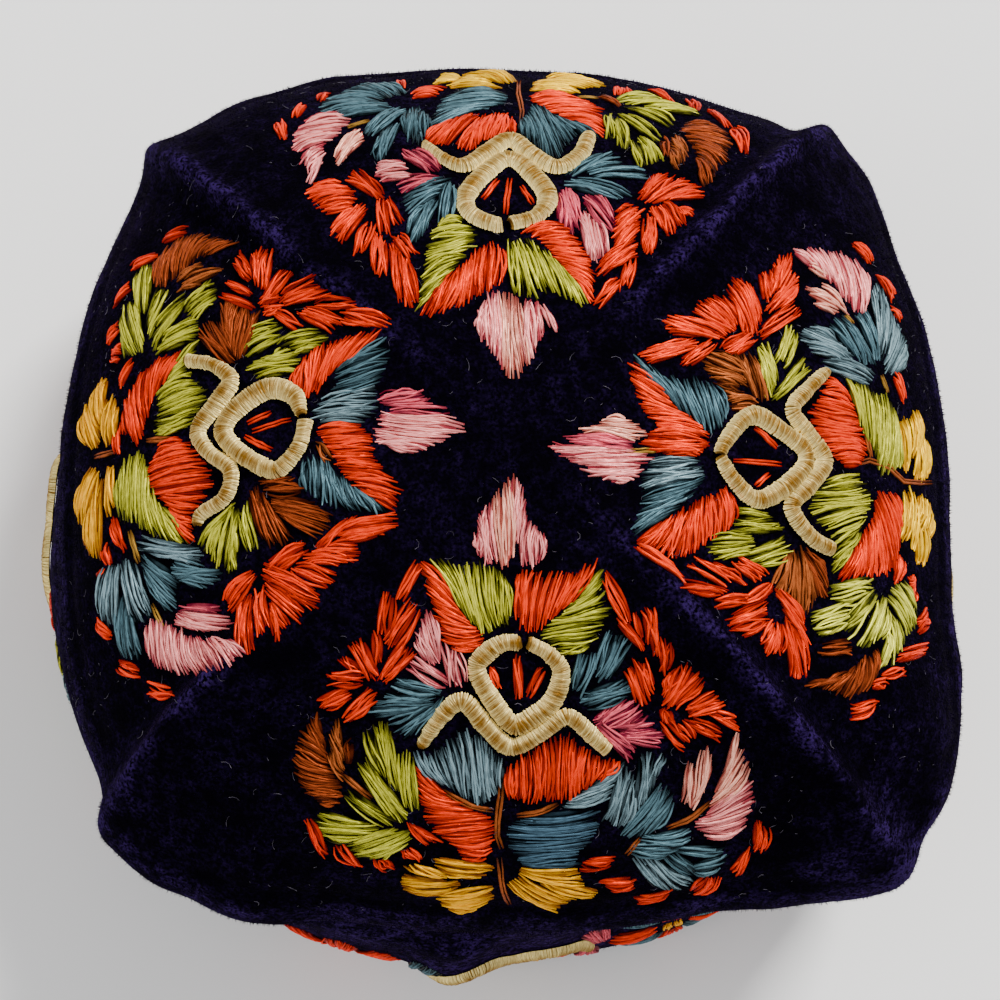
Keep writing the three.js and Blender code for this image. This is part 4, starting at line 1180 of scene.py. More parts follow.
RIGHT_CHART = """
PINK -7.7,17.4 -6.6,14.4 -5,12 > -6.8,20.8 -5.2,22.6 -4.2,22 ; -5,12 -3.4,8.4 -2,7 > -3.6,22.6 -2.6,24.4
  -2.4,18.4
ROSE -2,12 -.9,9.8 -.2,12 > -1.6,20.2 -1,20.8 -.4,20
BLUSH .2,11.8 1.6,14.2 3.4,16.8 > 0,21.6 1.8,23 3.4,19.4
SLATE -16.8,21.6 -14.6,22 -12.4,22.6 -9.4,23.2 > -11,29.8 -8.6,31 -6.6,33.2 -5,33.8
BLUE -9,23.2 -6.4,22.8 -3.2,24.4 > -4.8,33.8 -3.6,32.8 -2.2,32.4
RED -18.2,22 -19.4,27 -19,31.4 -15.8,35 -13.8,38.6 -10,39.6
  > -13.6,27 -11.6,30.4 -9.8,33 -8.2,35.4 -7,38 -8.4,39
RED -19,22 -18.2,23.4 > -23.6,31 -21.6,29.6 ; -25.6,32 -24.4,30 > -25.4,37 -24,39
RED -20.6,31.4 -19.4,33 > -23.8,38.4 -22.4,39.6 ; -20,34.6 -19.6,36 > -23,42 -22.2,41.4
RED -19.8,39.6 -18.2,41 > -22,44.6 -20.2,46 ; -27.8,36.2 -26.2,37 > -25.6,43 -24.4,43.4
RED -31,39.2 -28.6,39.6 > -28.4,46.8 -24.8,46.4 ; -27,41.4 -26,41 > -22.6,48 -21.6,47
RED -32,41.8 -31.4,41.8 > -29.2,46.6 -28.6,46.4 ; -34,47 -31.8,45.4 > -29.6,48.6 -28.4,47.6
RED -34,47.4 -33,49.6 > -29,48.4 -28.2,49.6 ; -37.4,52 -36.8,54.4 -35,55.4 > -29,50.4 -27.4,50.6 -28,52.4
RED -31.6,55 -28,54 -26,53.6 > -27,50.4 -22.4,48.2 -23.4,51
GREEN -18.8,37.4 -17.4,35 -15,36.4 > -17,43 -15.4,43.4 -14,43.4
GREEN -13.8,40.2 -11.6,39.6 -9.6,40 > -12.6,48.4 -11.6,48.6 -9.8,45.4
GREEN -19.2,44.6 -18.2,41.4 -17,43 > -17,50 -15.8,50.8 -13.6,49
BROWN -21.8,47.6 -24.4,51.6 > -16,50 -16,52 ; -25,52 -26.2,54.4 -22,55.8 > -16,51.6 -15.6,53 -17,54.4
RUST -22.8,56.2 -21.8,58.8 -18,58 > -17.6,54.4 -15.4,53.4 -16,56
RED -2,27 -1,23 .6,22.8 2.2,25 > -1.8,32 -.8,33 .8,34.2 2.2,33
RED 2.4,25.6 5.6,22.8 9.6,21 13.4,20 > 2,34.4 4,32.4 5.8,29 9.4,26
SLATE 14.6,20.6 12.4,24.4 11.6,27 11.8,32 11,36 > 9.6,26.4 6.4,28.6 4.6,32 2.6,35 6,37.6
RED 13.6,23 15.4,21.8 16.6,24 > 17.4,30.6 19,32.4 19.2,30 ; 14.2,30.4 15,28.6 > 18.4,35 19.8,34.4
RED 19.4,26.8 22,25.8 23,28.4 > 20,32.6 20.6,36.6 21.8,36.8
RED 23.4,32 25,31.4 27.4,33.6 28,36.8 > 21.6,37.8 22.2,38.4 23,38.6 24,39.4
RED 28,37.8 30.8,37.6 32,39.8 30.6,42 > 22.6,40.4 22,41.6 22.4,42.8 26.6,44
RED 17.2,38.6 18.4,36 > 20.6,42.6 22.4,41.6 ; 21.8,44 23.4,43.8 > 27.8,52 29.6,50
RED 34.2,43.4 34.6,45 > 28.8,44.4 29.6,45.6 ; 35.4,45.6 39.2,49.2 38.4,50.4 > 30.4,45.6 31.4,46.6 32.4,47.6
RED 36,50.4 34.6,51.6 32.6,51 > 29.4,46.4 27,44.6 28.6,48
BROWN 7.2,38.8 10,36.8 11.4,37 > 8.4,43 9.4,43.4 10.4,40.4 ; 11.8,35.2 15.6,33 18,35.4 > 11.6,39.8 13,41.2
  15.4,40.8
BROWN 17.6,38.6 18,41.4 16.4,43.4 > 11,42.4 9.6,44.8 11,45
GREEN 17,43.4 20.2,43.6 20.2,45.4 > 11.8,45 10.6,45.6 14.8,47
GREEN 24.8,49 24.4,50.4 22.4,51.4 > 17.4,46.6 18.4,48.6 16,48.4 ; 19.6,52 17.2,54 > 12,47.4 10.2,46.2
RED along -1.6,39 -1,48.4 ; along -5.6,43.4 -3,46 ; along 4.8,43 2,47.4
GREEN -18.6,59.4 -16,60.2 > -13.6,64.2 -12.4,64 ; -15.6,60 -12,59.6 > -10.2,65.6 -7.6,67
GREEN -11,58 -8.8,54.8 -5.8,54.6 -2.2,58 > -6.6,67.4 -4,68.6 -2.6,68 0,64.8
RED -19.2,61 -18,66 -16.8,70 -15.8,73.4 -13.6,76.4 -5,77.4
  > -12.6,65.2 -10,67 -7,69.4 -2.6,70.2 -2,74 -1.4,76
RED 1,61.4 4,57.6 7,54.4 10,54.4 14.6,57 17,58 > 2,65.4 4.4,67 7,66.6 9,65.6 11,64.8 15,61.4
GREEN 17.4,61.6 17.2,66 16,70.4 16.6,73 14,75.4 11,77 > 9.6,66 5,69.4 2,71 2.4,73 3,75.4 4.4,77.4
RUST -38.2,55 -38.2,61 -38.8,64.4 -37.2,68.4 -34.6,70.6 > -36,62 -34.6,65 -32.6,67.4 -31,70 -30.4,71
RUST -32.6,57.8 -30.6,58.6 > -31.6,64.4 -29.2,64
LIME -29.6,57.4 -27.6,56 -25.8,56 > -27,63 -25,64 -22.4,64
LIME -23.2,60.6 -21.4,59.4 -20.2,60.4 > -21,68.4 -19,69.4 -17.6,68.8 ; -28.6,63.2 -27,62 > -22,70.2
  -19.8,70.6
LIME -30.2,66.6 -29.6,69 -28,72 > -22,70.8 -20.6,73 -23,74
LIME -33,71.6 -31.4,75.4 -28,78.6 > -27.6,73.6 -24.2,74.4 -24,77
LIME -26,80.4 -23.4,83 -20,82.4 > -20.6,73.8 -18,76 -17,79.6
BLUE 18,58 19.4,56.6 20.8,58.6 > 17.6,67 19.2,69 20.8,68 ; 21,54.6 23.8,51.8 26.4,55.4 > 20.6,60 21.8,63.6
  24.6,58.6
SLATE 26.4,58.6 29.2,60.6 28,64 > 22,64 21.4,67.6 22.4,69 ; 30.4,64.6 32.4,67.8 > 23,69.2 23.4,71
BLUE 37.6,69.6 39.4,72 35.6,75 > 27,70.8 24.6,71.6 26,73
BLUE 33.6,75 31.8,78.4 28.6,80 24.6,78.8 > 24,73 22,72.6 21.6,74.6 22.4,77
BLUSH 30.2,55.4 31.2,55 > 29.8,60 31,60.6 ; 32.2,54 33.4,53.4 33.6,55 > 31,60.6 31.6,61 32.2,59
BLUSH 34,57 35.2,56.6 > 30.4,62.4 31.6,62 ; 38.4,54.6 39,53 > 36.6,58 37.6,58
PINK 40.4,50.6 42.2,56 42.8,60.4 42.4,64.6 40.6,68 > 38,55 36.4,58.6 33,63 31.4,66.4 34.6,68.4
TAN along -2.2,19.8 -1.4,25.6 ; along 17.4,73.4 20.4,71.4 ; along 28.6,64 30,62
BROWN along 1.4,63 3.6,69 3,75 1.8,79 4,89 ; along 4,68.6 8,67
LEMON -9.2,77.4 -8.6,80 -10.4,82.4 > -.4,78.4 .2,81 -1,83 ; -12.6,83.2 -12,86 -9.6,87.8 > -6,82.4 -4.6,84.4
  -6,87
LEMON .4,83.6 -.4,87.4 -3.4,89.8 > -5.4,82 -6.4,85 -6.6,88 ; 3.6,78.6 5.4,80.4 > 12.6,76.8 13.6,79.4
LEMON 7.4,81 8,83.6 12,85 > 14.6,80.6 16.2,82.8 15,84.4 ; 3.4,82 3.6,85.4 6,87.8 > 9.4,82.4 12,84.6 11.4,87
RED -42.4,65.4 -40.6,65.2 > -40.4,70.6 -38.8,71.4 ; -37,69.8 -36,69.8 > -36.4,73.6 -35.4,73.6
RED -35,72.6 -34.4,72.2 > -33.8,79 -32.6,78.6 ; -31.8,76.2 -29.6,77.8 > -28.8,86 -26.8,87.4
RED -25.2,84 -23,83.4 > -23.4,87.4 -20,87.6 ; -19.4,82.4 -16,80.6 > -18,83 -15.2,82
RED -17.4,75.8 -16.6,78 > -12.2,76.8 -13.4,79.2 ; 46,64.6 47,66 > 43.4,69 45,70.8
RED 41.4,71.2 42,74 > 37.6,75.6 40,77.4 ; 34.4,76 36,75.4 > 33.6,78.6 35.4,79 ; 21,75 22.4,76.4 > 16.4,78
  17.8,79.4
"""

# One half of a band side: across from its middle and up from the hem. The numbers in braces stand
# for three silks that each half chooses.
BAND_CHART = """
{0} 13.4,6.6 16,5.2 18.6,8 > 15,16 16.2,17 17.6,16.2 ; 18,17.6 20.4,18.4 > 14,28.2 16.6,30.6 19.6,29.6
{1} 30.5,28.6 34,30.8 37.5,28.6 > 32.6,20.5 34,20 35.4,20.5 ; 22,19 21.2,15.5 23,12 > 30,18 29.8,16.4 30,15
{1} 45,12 46.8,15.5 46,19 > 38,15 38.2,16.4 38,18 ; 37.2,3.6 34,2.2 30.8,3.6 > 35.2,11.4 34,11 32.8,11.4
{2} 27.4,28.4 23.6,27.6 22.2,24 > 31.6,20.8 30.6,20.4 30,19.5 ; 46,24 44.6,27.6 41,28.4 > 38,19.5 37.4,20.4
  36.4,20.8
{2} 23.6,10 24.6,6.2 27.2,4.4 > 30.2,13.8 30.8,12.8 31.6,12 ; 41,4.4 43.6,6.2 44.6,10 > 36.4,12 37.2,12.8
  37.8,13.8
{0} 49,25.6 51.8,29 54.6,26 > 50.6,17.6 51.6,16.6 52.8,17.6 ; 49.4,5.4 51.8,3.4 54.4,5.4 > 50.6,13.4
  51.6,14.4 52.6,13.4
YELLOW 32.4,17.9 35.6,17.9 > 32.4,14 35.6,14 ; .2,4.4 2.6,5.2 > .2,17.6 1.8,17.8 ; 4.6,5.6 8.2,7.8 >
  2.8,18.2 5.2,19.2
RED 47.6,13.4 48.8,14.6 > 47.8,17.4 48.8,18.4 ; 9.6,3.4 10.8,4.4 > 11,8 12,9
"""

BAND_CORD = (
    "-16,19.4,1.8 -13,24.6,2.5 -9,28.6,2.8 -5,28.4,2.8 0,25,2.6"
    " 5,28.4,2.8 9,28.6,2.8 13,24.6,2.5 16,19.4,1.8"
)

# The band's cord, the same on every side: across, up from the hem and width in millimetres.
BAND_CORD = (
    "-16,19.4,1.8 -13,24.6,2.5 -9,28.6,2.8 -5,28.4,2.8 0,25,2.6"
    " 5,28.4,2.8 9,28.6,2.8 13,24.6,2.5 16,19.4,1.8"
)


def band_stitches(silks: Sequence[str]) -> list[Petal | Stem]:
    """Lay the band's chart on both sides of its middle.

    Args:
        silks: Skeins of the left half, then of the right half, three each.

    Returns:
        The stitches of the whole band side.
    """
    stitches: list[Petal | Stem] = []
    for sign, names in ((-1, silks[:3]), (1, silks[3:])):
        for stitch in read_chart(BAND_CHART.format(*names)):
            lines = (stitch.path,) if isinstance(stitch, Stem) else (stitch.start, stitch.end)
            turned = [tuple((sign * across, up) for across, up in line) for line in lines]
            stitches.append(type(stitch)(stitch.thread, *turned))
    return stitches


SIDES = (
    Side(
        name="right",
        motif_deg=357.5,
        wave_deg=357.0,
        stitches=read_chart(RIGHT_CHART),
        ring="-1.8,36.5,1.8 -4.9,38.8,2.2 -7.9,43.2,2.6 -5.8,47.9,3 -1.4,52.3,2.8 .9,53,2.6 2.8,51.9,2.6"
        " 5.5,46.7,2.8 6.9,43,3 5.5,40.2,2.6 1.1,37.1,2.2 -.8,36.3,1.7",
        wave="-14.3,59,2.2 -12.7,54.4,2.4 -8.3,50.3,2.6 -4.1,53.6,2.8 .9,56.9,3 5.1,53.6,2.6 9,50,2.4"
        " 13.2,52.9,2.2 17.5,56.9,1.6",
        band_silks="GREEN RED GREEN PINK BLUE YELLOW",
    ),
    Side(
        name="back",
        motif_deg=91.0,
        wave_deg=91.0,
        stitches=read_chart(BACK_CHART),
        ring="-.8,38.6,2.2 -5.2,40.3,2.3 -7.2,44.9,3.3 -3.7,51.3,3.1 -1,53.7,2.8 1.3,52.8,3 5.9,47.3,3.2"
        " 7.3,43.5,2.9 5.9,40.3,2.6 2.1,38.4,2.5 .9,38.2,2.2",
        wave="-15.2,60.9,2.4 -13.3,55.5,2.6 -9.1,51.9,2.6 -4.8,54.8,3.1 -1,59,3 2.8,55.9,3 7.1,52.1,2.6"
        " 10.5,53.2,1.8 14.4,57.5,1.2",
        band_silks="BLUE RED PINK ROSE GREEN RED",
    ),
    Side(
        name="left",
        motif_deg=178.5,
        wave_deg=181.0,
        stitches=read_chart(LEFT_CHART),
        ring="-2.3,35.6,1.8 -5.6,37.2,3 -6.9,41.8,3.5 -3.7,47.2,3.4 -1,49.4,3 1.2,49.5,3 4.4,46.2,2.8"
        " 7.3,41,2.6 7.2,38.6,2.6 3.6,35.6,2.2 -.8,34.7,2.1",
        wave="-13.3,58.3,2 -12,52.9,2 -8.7,49.1,2.8 -4.5,51.6,3 0,54.8,2.7 4,52.2,2.2 7.1,47.9,2.4"
        " 11.7,48.5,2.2 14.4,52.9,2 16.1,53.7,1.3",
        band_silks="PINK RED LIME RED BLUE GREEN",
    ),
    Side(
        name="front",
        motif_deg=272.5,
        wave_deg=273.0,
        stitches=read_chart(FRONT_CHART),
        ring=".4,35.9,2.3 -2.1,35.9,2.4 -4.9,37.6,2.9 -6.5,40.4,2.6 -3.3,46.6,2.8 -1,49.5,2.8 .7,49.7,3.1"
        " 5.7,46.3,3.1 7.6,41,2.6 5.6,37.9,2.2 2.5,36.1,1.9",
        wave="-15.8,52.6,1.6 -12.2,47.5,2.6 -8.8,45.5,2.7 -5.2,49.8,2.7 -1,53.7,2.6 4,51.4,2.4 7.3,48.9,2.5"
        " 9.4,48.9,2.3 13.2,52.5,2.4 15.3,54.6,2",
        band_silks="SLATE RED RED ROSE RED SLATE",
    ),
)

# What the charts cover: across and out on the crown, across and up on the band, in millimetres.
CROWN_SPAN = (-52, 53), (4, 100)
BAND_SPAN = (-56, 57), (1, 48)
# Spots of the crown: how far out its middle lines are measured and in what steps, below what height
# the crown was missed, and at what height the rim is looked for then.
CROWN_REACH_MM = 86.1
CROWN_STEP_MM = 0.5
MISSED_MM = 44.0
RIM_MM = 54.0
# Where the band is looked for when it was missed, from the middle of the cap.
NEAR_BAND_MM = 90.0


def charted(
    spans: tuple[tuple[int, int], tuple[int, int]], find: Callable[[float, float], tuple[Vector, Vector]]
) -> Ground:
    """Chart cloth millimetre by millimetre.

    Args:
        spans: First and past-the-last millimetre across and along.
        find: Gives place and normal of the cloth at a spot across and along.

    Returns:
        The ground.
    """
    across, along = (np.arange(*span) for span in spans)
    places = np.empty((len(along), len(across), 3))
    normals = np.empty_like(places)
    for row, v in enumerate(along):
        for column, u in enumerate(across):
            places[row, column], normals[row, column] = find(u, v)
    return Ground((float(across[0]), float(along[0])), places, normals)


def crown_ground(tree: BVHTree, side: Side) -> Ground:
    """Chart one side of the crown by dropping spots on it from above.

    Args:
        tree: Search tree of the crown.
        side: Side to chart.

    Returns:
        The side's ground, across from its middle line and out from the top.
    """
    turn = math.radians(side.motif_deg)
    ahead = np.array([math.cos(turn), math.sin(turn)])
    aside = np.array([-math.sin(turn), math.cos(turn)])

    def drop(across: float, forward: float) -> tuple[Vector, Vector]:
        """Find the cloth under a spot seen from above.

        Args:
            across: Distance from the middle line, in millimetres.
            forward: Distance from the top, in millimetres.

        Returns:
            Place and normal of the cloth.
        """
        x, y = (np.array(APEX) + ahead * forward + aside * across) * MM
        place, normal, _, _ = tree.ray_cast(Vector((x, y, CLEAR_OF_CAP)), Vector((0, 0, -1)))
        if place is None or place.z < MISSED_MM * MM:
            place, normal, _, _ = tree.find_nearest(Vector((x, y, RIM_MM * MM)))
        return place, normal

    reach = np.arange(0, CROWN_REACH_MM, CROWN_STEP_MM)
    heights = [drop(0, forward)[0].z / MM for forward in reach]
    length = lengths_along(np.stack([reach, heights], axis=1))
    return charted(CROWN_SPAN, lambda across, out: drop(across, np.interp(out, length, reach)))


def band_ground(tree: BVHTree, side: Side) -> Ground:
    """Chart one side of the band by spots sent in from outside.

    Args:
        tree: Search tree of the band.
        side: Side to chart.

    Returns:
        The side's ground, across from its crease and up from the hem.
    """

    def send_in(across: float, up: float) -> tuple[Vector, Vector]:
        """Find the cloth of the band.

        Args:
            across: Distance round the band, in millimetres.
            up: Height over the hem, in millimetres.

        Returns:
            Place and normal of the cloth.
        """
        turn = math.radians(side.wave_deg) + across / BAND_RADIUS_MM
        outward = Vector((math.cos(turn), math.sin(turn), 0))
        middle = Vector(on_axis(up))
        place, normal, _, _ = tree.ray_cast(middle + outward * CLEAR_OF_CAP, -outward)
        if place is None:
            place, normal, _, _ = tree.find_nearest(middle + outward * NEAR_BAND_MM * MM)
        return place, normal

    return charted(BAND_SPAN, send_in)


def refine(obj: Object, levels: int = 2, passes: int = 4) -> None:
    """Subdivide cloth into a smooth skin that still passes through its own corners.

    Args:
        obj: Cloth to refine.
        levels: Number of subdivisions.
        passes: Number of times that the corners are corrected.
    """
    modifier = obj.modifiers.new("Skin", "SUBSURF")
    modifier.levels = modifier.render_levels = levels
    wanted = vertex_table(obj.data)
    cage = wanted.copy()
    for _ in range(passes):
        move_vertices(obj.data, cage)
        skin = obj.evaluated_get(bpy.context.evaluated_depsgraph_get()).data
        cage = cage + wanted - vertex_table(skin)[: len(wanted)]
    move_vertices(obj.data, cage)
    pick(obj)
    bpy.ops.object.modifier_apply(modifier=modifier.name)


def crumple(obj: Object, size_mm: float, depth_mm: float, hem_mm: float = 8.0) -> None:
    """Give cloth soft dents that fade out at the hem.

    Args:
        obj: Cloth to change.
        size_mm: Size of a dent.
        depth_mm: Full range of the dents.
        hem_mm: Height over which they fade out.
    """
    group = obj.vertex_groups.new(name="dents")
    for vertex in obj.data.vertices:
        share = min(max(vertex.co.z / (hem_mm * MM), 0), 1)
        group.add([vertex.index], share, "REPLACE")
    modifier = obj.modifiers.new("Dents", "DISPLACE")
    modifier.texture = bpy.data.textures.new(f"{obj.name}_dents", "CLOUDS")
    modifier.texture.noise_scale = size_mm * MM
    modifier.texture_coords = "LOCAL"
    modifier.strength = depth_mm * MM
    modifier.vertex_group = group.name
    pick(obj)
    bpy.ops.object.modifier_apply(modifier=modifier.name)


@dataclass(frozen=True)
class Ridge:
    """A pinched seam of the crown, from its ear inwards, with a deeper groove on one side of it."""

    azimuth_deg: float
    bend_deg: float
    crest_mm: float
    groove_side: int
    groove_mm: float
    # Painted sheen on the ridge's crest and on its ear.
    crest_nap: float
    ear_nap: float


@dataclass(frozen=True)
class Puff:
    """A place, across and along from the crown's top, where the cloth puffs out or is drawn in."""

    x_mm: float
    y_mm: float
    spread_mm: float
    push_mm: float


RIDGES = (
    Ridge(49.6, 2.0, 1.8, 1, 1.4, 0.4, 0.16),
    Ridge(136.2, -6.0, 2.0, 1, 1.3, 0.55, 0.04),
    Ridge(221.6, 7.0, 1.4, -1, 0.9, 0.45, 0.14),
    Ridge(316.4, 0.5, 1.6, 1, 1.0, 0.4, 0.18),
)
# The crown, anticlockwise from the back right ear, and the dimple at its top.
PUFFS = (
    Puff(62.0, 74.5, 4.5, 0.6),
    Puff(57.0, 73.2, 3.5, -1.4),
    Puff(72.0, 66.0, 7.0, 1.2),
    Puff(77.0, 45.0, 10.0, -0.8),
    Puff(-70.0, 62.0, 5.0, 0.3),
    Puff(-38.0, 83.0, 9.0, 1.0),
    Puff(-72.0, -61.5, 4.5, 0.4),
    Puff(-67.0, -70.0, 7.0, 1.8),
    Puff(-61.0, -73.0, 6.5, 3.0),
    Puff(-47.0, -79.5, 10.5, 4.4),
    Puff(-38.0, -82.5, 6.0, 2.2),
    Puff(86.0, -35.0, 11.0, 5.0),
    Puff(85.0, -44.0, 5.0, 1.2),
    Puff(84.0, -52.0, 7.0, 0.4),
    Puff(79.0, -60.0, 6.0, 1.6),
    Puff(76.5, -65.5, 6.0, 3.2),
    Puff(70.0, -74.0, 9.0, 2.2),
    Puff(57.0, -76.0, 11.0, 4.4),
    Puff(50.0, -76.5, 5.0, 1.0),
    Puff(0.0, 0.0, 3.5, -1.0),
)
# The band between its hem and the crown's seam: a fold at the front, and the sides drawn in a little.
BAND_PUFFS = (
    Puff(-24.0, -84.0, 14.0, 0.2),
    Puff(-7.5, -87.0, 7.5, 2.7),
    Puff(4.0, -86.0, 6.0, -1.8),
    Puff(30.0, -83.0, 16.0, -5.4),
    Puff(-87.0, 0.0, 28.0, -1.0),
    Puff(88.0, -8.0, 26.0, -1.0),
)
# The hem, drawn in at the front and at both sides.
BAND_TUCKS = (
    Puff(0.0, -86.0, 42.0, -4.5),
    Puff(-87.0, 0.0, 40.0, -3.0),
    Puff(88.0, 0.0, 40.0, -2.0),
)


def puffed(plan: Array, puffs: Sequence[Puff]) -> Array:
    """Add up how far cloth is pushed out.

    Args:
        plan: Places across and along from the crown's top, in millimetres.
        puffs: Places where the cloth puffs out or is drawn in.

    Returns:
        One push in millimetres for each place.
    """
    push = np.zeros(len(plan))
    for puff in puffs:
        away = np.hypot(plan[:, 0] - puff.x_mm, plan[:, 1] - puff.y_mm)
        push += puff.push_mm * bell(away, puff.spread_mm)
    return push


@dataclass
class Crown:
    """The domed velvet crown: four gores sewn together along pinched ridges.

    Pairs of millimetres say where something starts and where it is full, out along a ridge unless they
    are heights. Painted sheen is lighter colour painted on crests, ears, steep cloth and the rim's roll,
    and painted shade is painted in the seam's groove.
    """

    seam_gap_mm: float = 0.8
    weld_mm: float = 0.6
    dent_size_mm: float = 14.0
    dent_depth_mm: float = 1.1
    # The ridges, with a crest between two grooves, and the ears at their ends.
    ear_mm: float = 95.0
    ridge_grows_mm: Pair = (14.0, 78.0)
    ridge_fades_mm: Pair = (82.0, 96.0)
    ridge_fades_by: float = 0.8
    crest_width_mm: float = 1.8
    groove_away_mm: float = 5.0
    groove_width_mm: float = 3.0
    shallow_groove: float = 0.5
    ear_grows_mm: Pair = (40.0, 70.0)
    ear_width_mm: float = 22.0
    # Painted sheen on crests, ears and steep cloth.
    crest_nap_grows_mm: Pair = (10.0, 60.0)
    crest_nap_width_mm: float = 1.5
    ear_nap_grows_mm: Pair = (76.0, 97.0)
    ear_nap_width_mm: float = 10.0
    steep: Pair = (0.35, 0.85)
    steep_nap: float = 0.2
    # The seam to the band: a groove just inside the rim that the ears hide, painted shade in the groove and
    # a painted highlight on the roll outside it.
    inset_mm: float = 4.0
    seam_width_mm: float = 0.9
    seam_height_mm: Pair = (44.0, 48.0)
    seam_depth_mm: float = 0.7
    seam_nap: float = -0.8
    hidden_by_ears: float = 0.9
    roll_mm: float = 2.0
    roll_width_mm: float = 1.2
    roll_nap: float = 0.16
    rim_steps: int = 90
    obj: Object | None = None

    def build(self) -> None:
        """Sew copies of the four gores into one soft skin."""
        gores = [copy_node(f"gore_{side.name}", f"crown_{side.name}") for side in SIDES]
        corners = [vertex_table(gore.data) for gore in gores]
        for index, gore in enumerate(gores):
            others = np.concatenate([c for i, c in enumerate(corners) if i != index])
            self._open_seams(gore, corners[index], others)
        pick(gores[0])
        for gore in gores:
            gore.select_set(True)
        bpy.ops.object.join()
        self.obj = bpy.context.object
        self.obj.name = self.obj.data.name = "velvet_crown"
        edit_all(
            self.obj,
            lambda: bpy.ops.mesh.remove_doubles(threshold=self.weld_mm * MM),
            lambda: bpy.ops.mesh.tris_convert_to_quads(),
            lambda: bpy.ops.mesh.normals_make_consistent(inside=False),
        )
        refine(self.obj)
        self._shape()
        crumple(self.obj, self.dent_size_mm, self.dent_depth_mm)
        shade_smooth(self.obj)

    def _open_seams(self, gore: Object, own: Array, others: Array) -> None:
        """Take away the walls of a gore that face its neighbours.

        Args:
            gore: Gore to open.
            own: Its vertices.
            others: Vertices of the other gores.
        """
        away = np.array([np.min(np.sum((others - spot) ** 2, axis=1)) for spot in own])
        near = away < (self.seam_gap_mm * MM) ** 2
        pick(gore)
        bpy.ops.object.mode_set(mode="EDIT")
        bpy.ops.mesh.select_mode(type="FACE")
        bpy.ops.mesh.select_all(action="DESELECT")
        bpy.ops.object.mode_set(mode="OBJECT")
        for face in gore.data.polygons:
            face.select = all(near[i] for i in face.vertices)
        bpy.ops.object.mode_set(mode="EDIT")
        bpy.ops.mesh.delete(type="FACE")
        bpy.ops.object.mode_set(mode="OBJECT")

    def _shape(self) -> None:
        """Pinch the ridges and puff the ears, and paint sheen on crests, ears, steep cloth and the rim's roll
        and shade in the seam.
        """
        mesh = self.obj.data
        spots, normals = vertex_table(mesh), vertex_table(mesh, "normal")
        plan = spots[:, :2] / MM - np.array(APEX)
        reach, azimuth = np.hypot(*plan.T), np.arctan2(plan[:, 1], plan[:, 0])
        facing = np.sum(normals * (spots - on_axis(INSIDE_MM)), axis=1, keepdims=True)
        outward = normals * np.sign(facing)
        push = puffed(plan, PUFFS)
        # Painted sheen: lighter colour on steep cloth, crests, ears and the roll by the rim; painted shade in
        # the seam's groove.
        nap = self.steep_nap * ramp(*self.steep, 1 - np.abs(normals[:, 2]))
        ears = np.zeros(len(spots))
        for ridge in RIDGES:
            line = np.radians(ridge.azimuth_deg + ridge.bend_deg * (reach / self.ear_mm - 1))
            aside, along = reach * np.sin(azimuth - line), reach * np.cos(azimuth - line)
            fading = 1 - self.ridge_fades_by * ramp(*self.ridge_fades_mm, along)
            growth = ramp(*self.ridge_grows_mm, along) * fading
            groove_at = self.groove_away_mm * ridge.groove_side
            push += growth * ridge.crest_mm * bell(aside, self.crest_width_mm)
            push -= growth * ridge.groove_mm * bell(aside - groove_at, self.groove_width_mm)
            other_groove = self.shallow_groove * growth * ridge.groove_mm
            push -= other_groove * bell(aside + groove_at, self.groove_width_mm)
            crest = ramp(*self.crest_nap_grows_mm, along) * bell(aside, self.crest_nap_width_mm)
            ear = ramp(*self.ear_nap_grows_mm, along) * bell(aside, self.ear_nap_width_mm)
            nap += ridge.crest_nap * crest + ridge.ear_nap * ear
            ears = np.maximum(ears, ramp(*self.ear_grows_mm, along) * bell(aside, self.ear_width_mm))
        inset = self._inset(reach, azimuth) - self.inset_mm
        seam = bell(inset, self.seam_width_mm) * ramp(*self.seam_height_mm, spots[:, 2] / MM)
        seam *= 1 - self.hidden_by_ears * ears
        push -= self.seam_depth_mm * seam
        nap += self.roll_nap * bell(inset + self.roll_mm, self.roll_width_mm) + self.seam_nap * seam
        move_vertices(mesh, spots + outward * push[:, None] * MM)
        keep_values(mesh, "nap", nap)

    def _inset(self, reach: Array, azimuth: Array) -> Array:
        """Measure how far inside the rim spots lie.

        Args:
            reach: Distances from the crown's top seen from above.
            azimuth: Their azimuths in radians.

        Returns:
            Distances to the rim in the same unit.
        """
        step = 360 / self.rim_steps
        degrees = np.degrees(azimuth) % 360
        rim = np.zeros(self.rim_steps)
        np.maximum.at(rim, (degrees / step).astype(int) % self.rim_steps, reach)
        middles = step / 2 + step * np.arange(self.rim_steps)
        return np.interp(degrees, middles, rim, period=360) - reach

    def dress(self, velvet: Material) -> None:
        """Give the crown its velvet."""
        self.obj.data.materials.append(velvet)
        settle(self.obj, Slot.VELVET, *[f"gore_{side.name}" for side in SIDES])


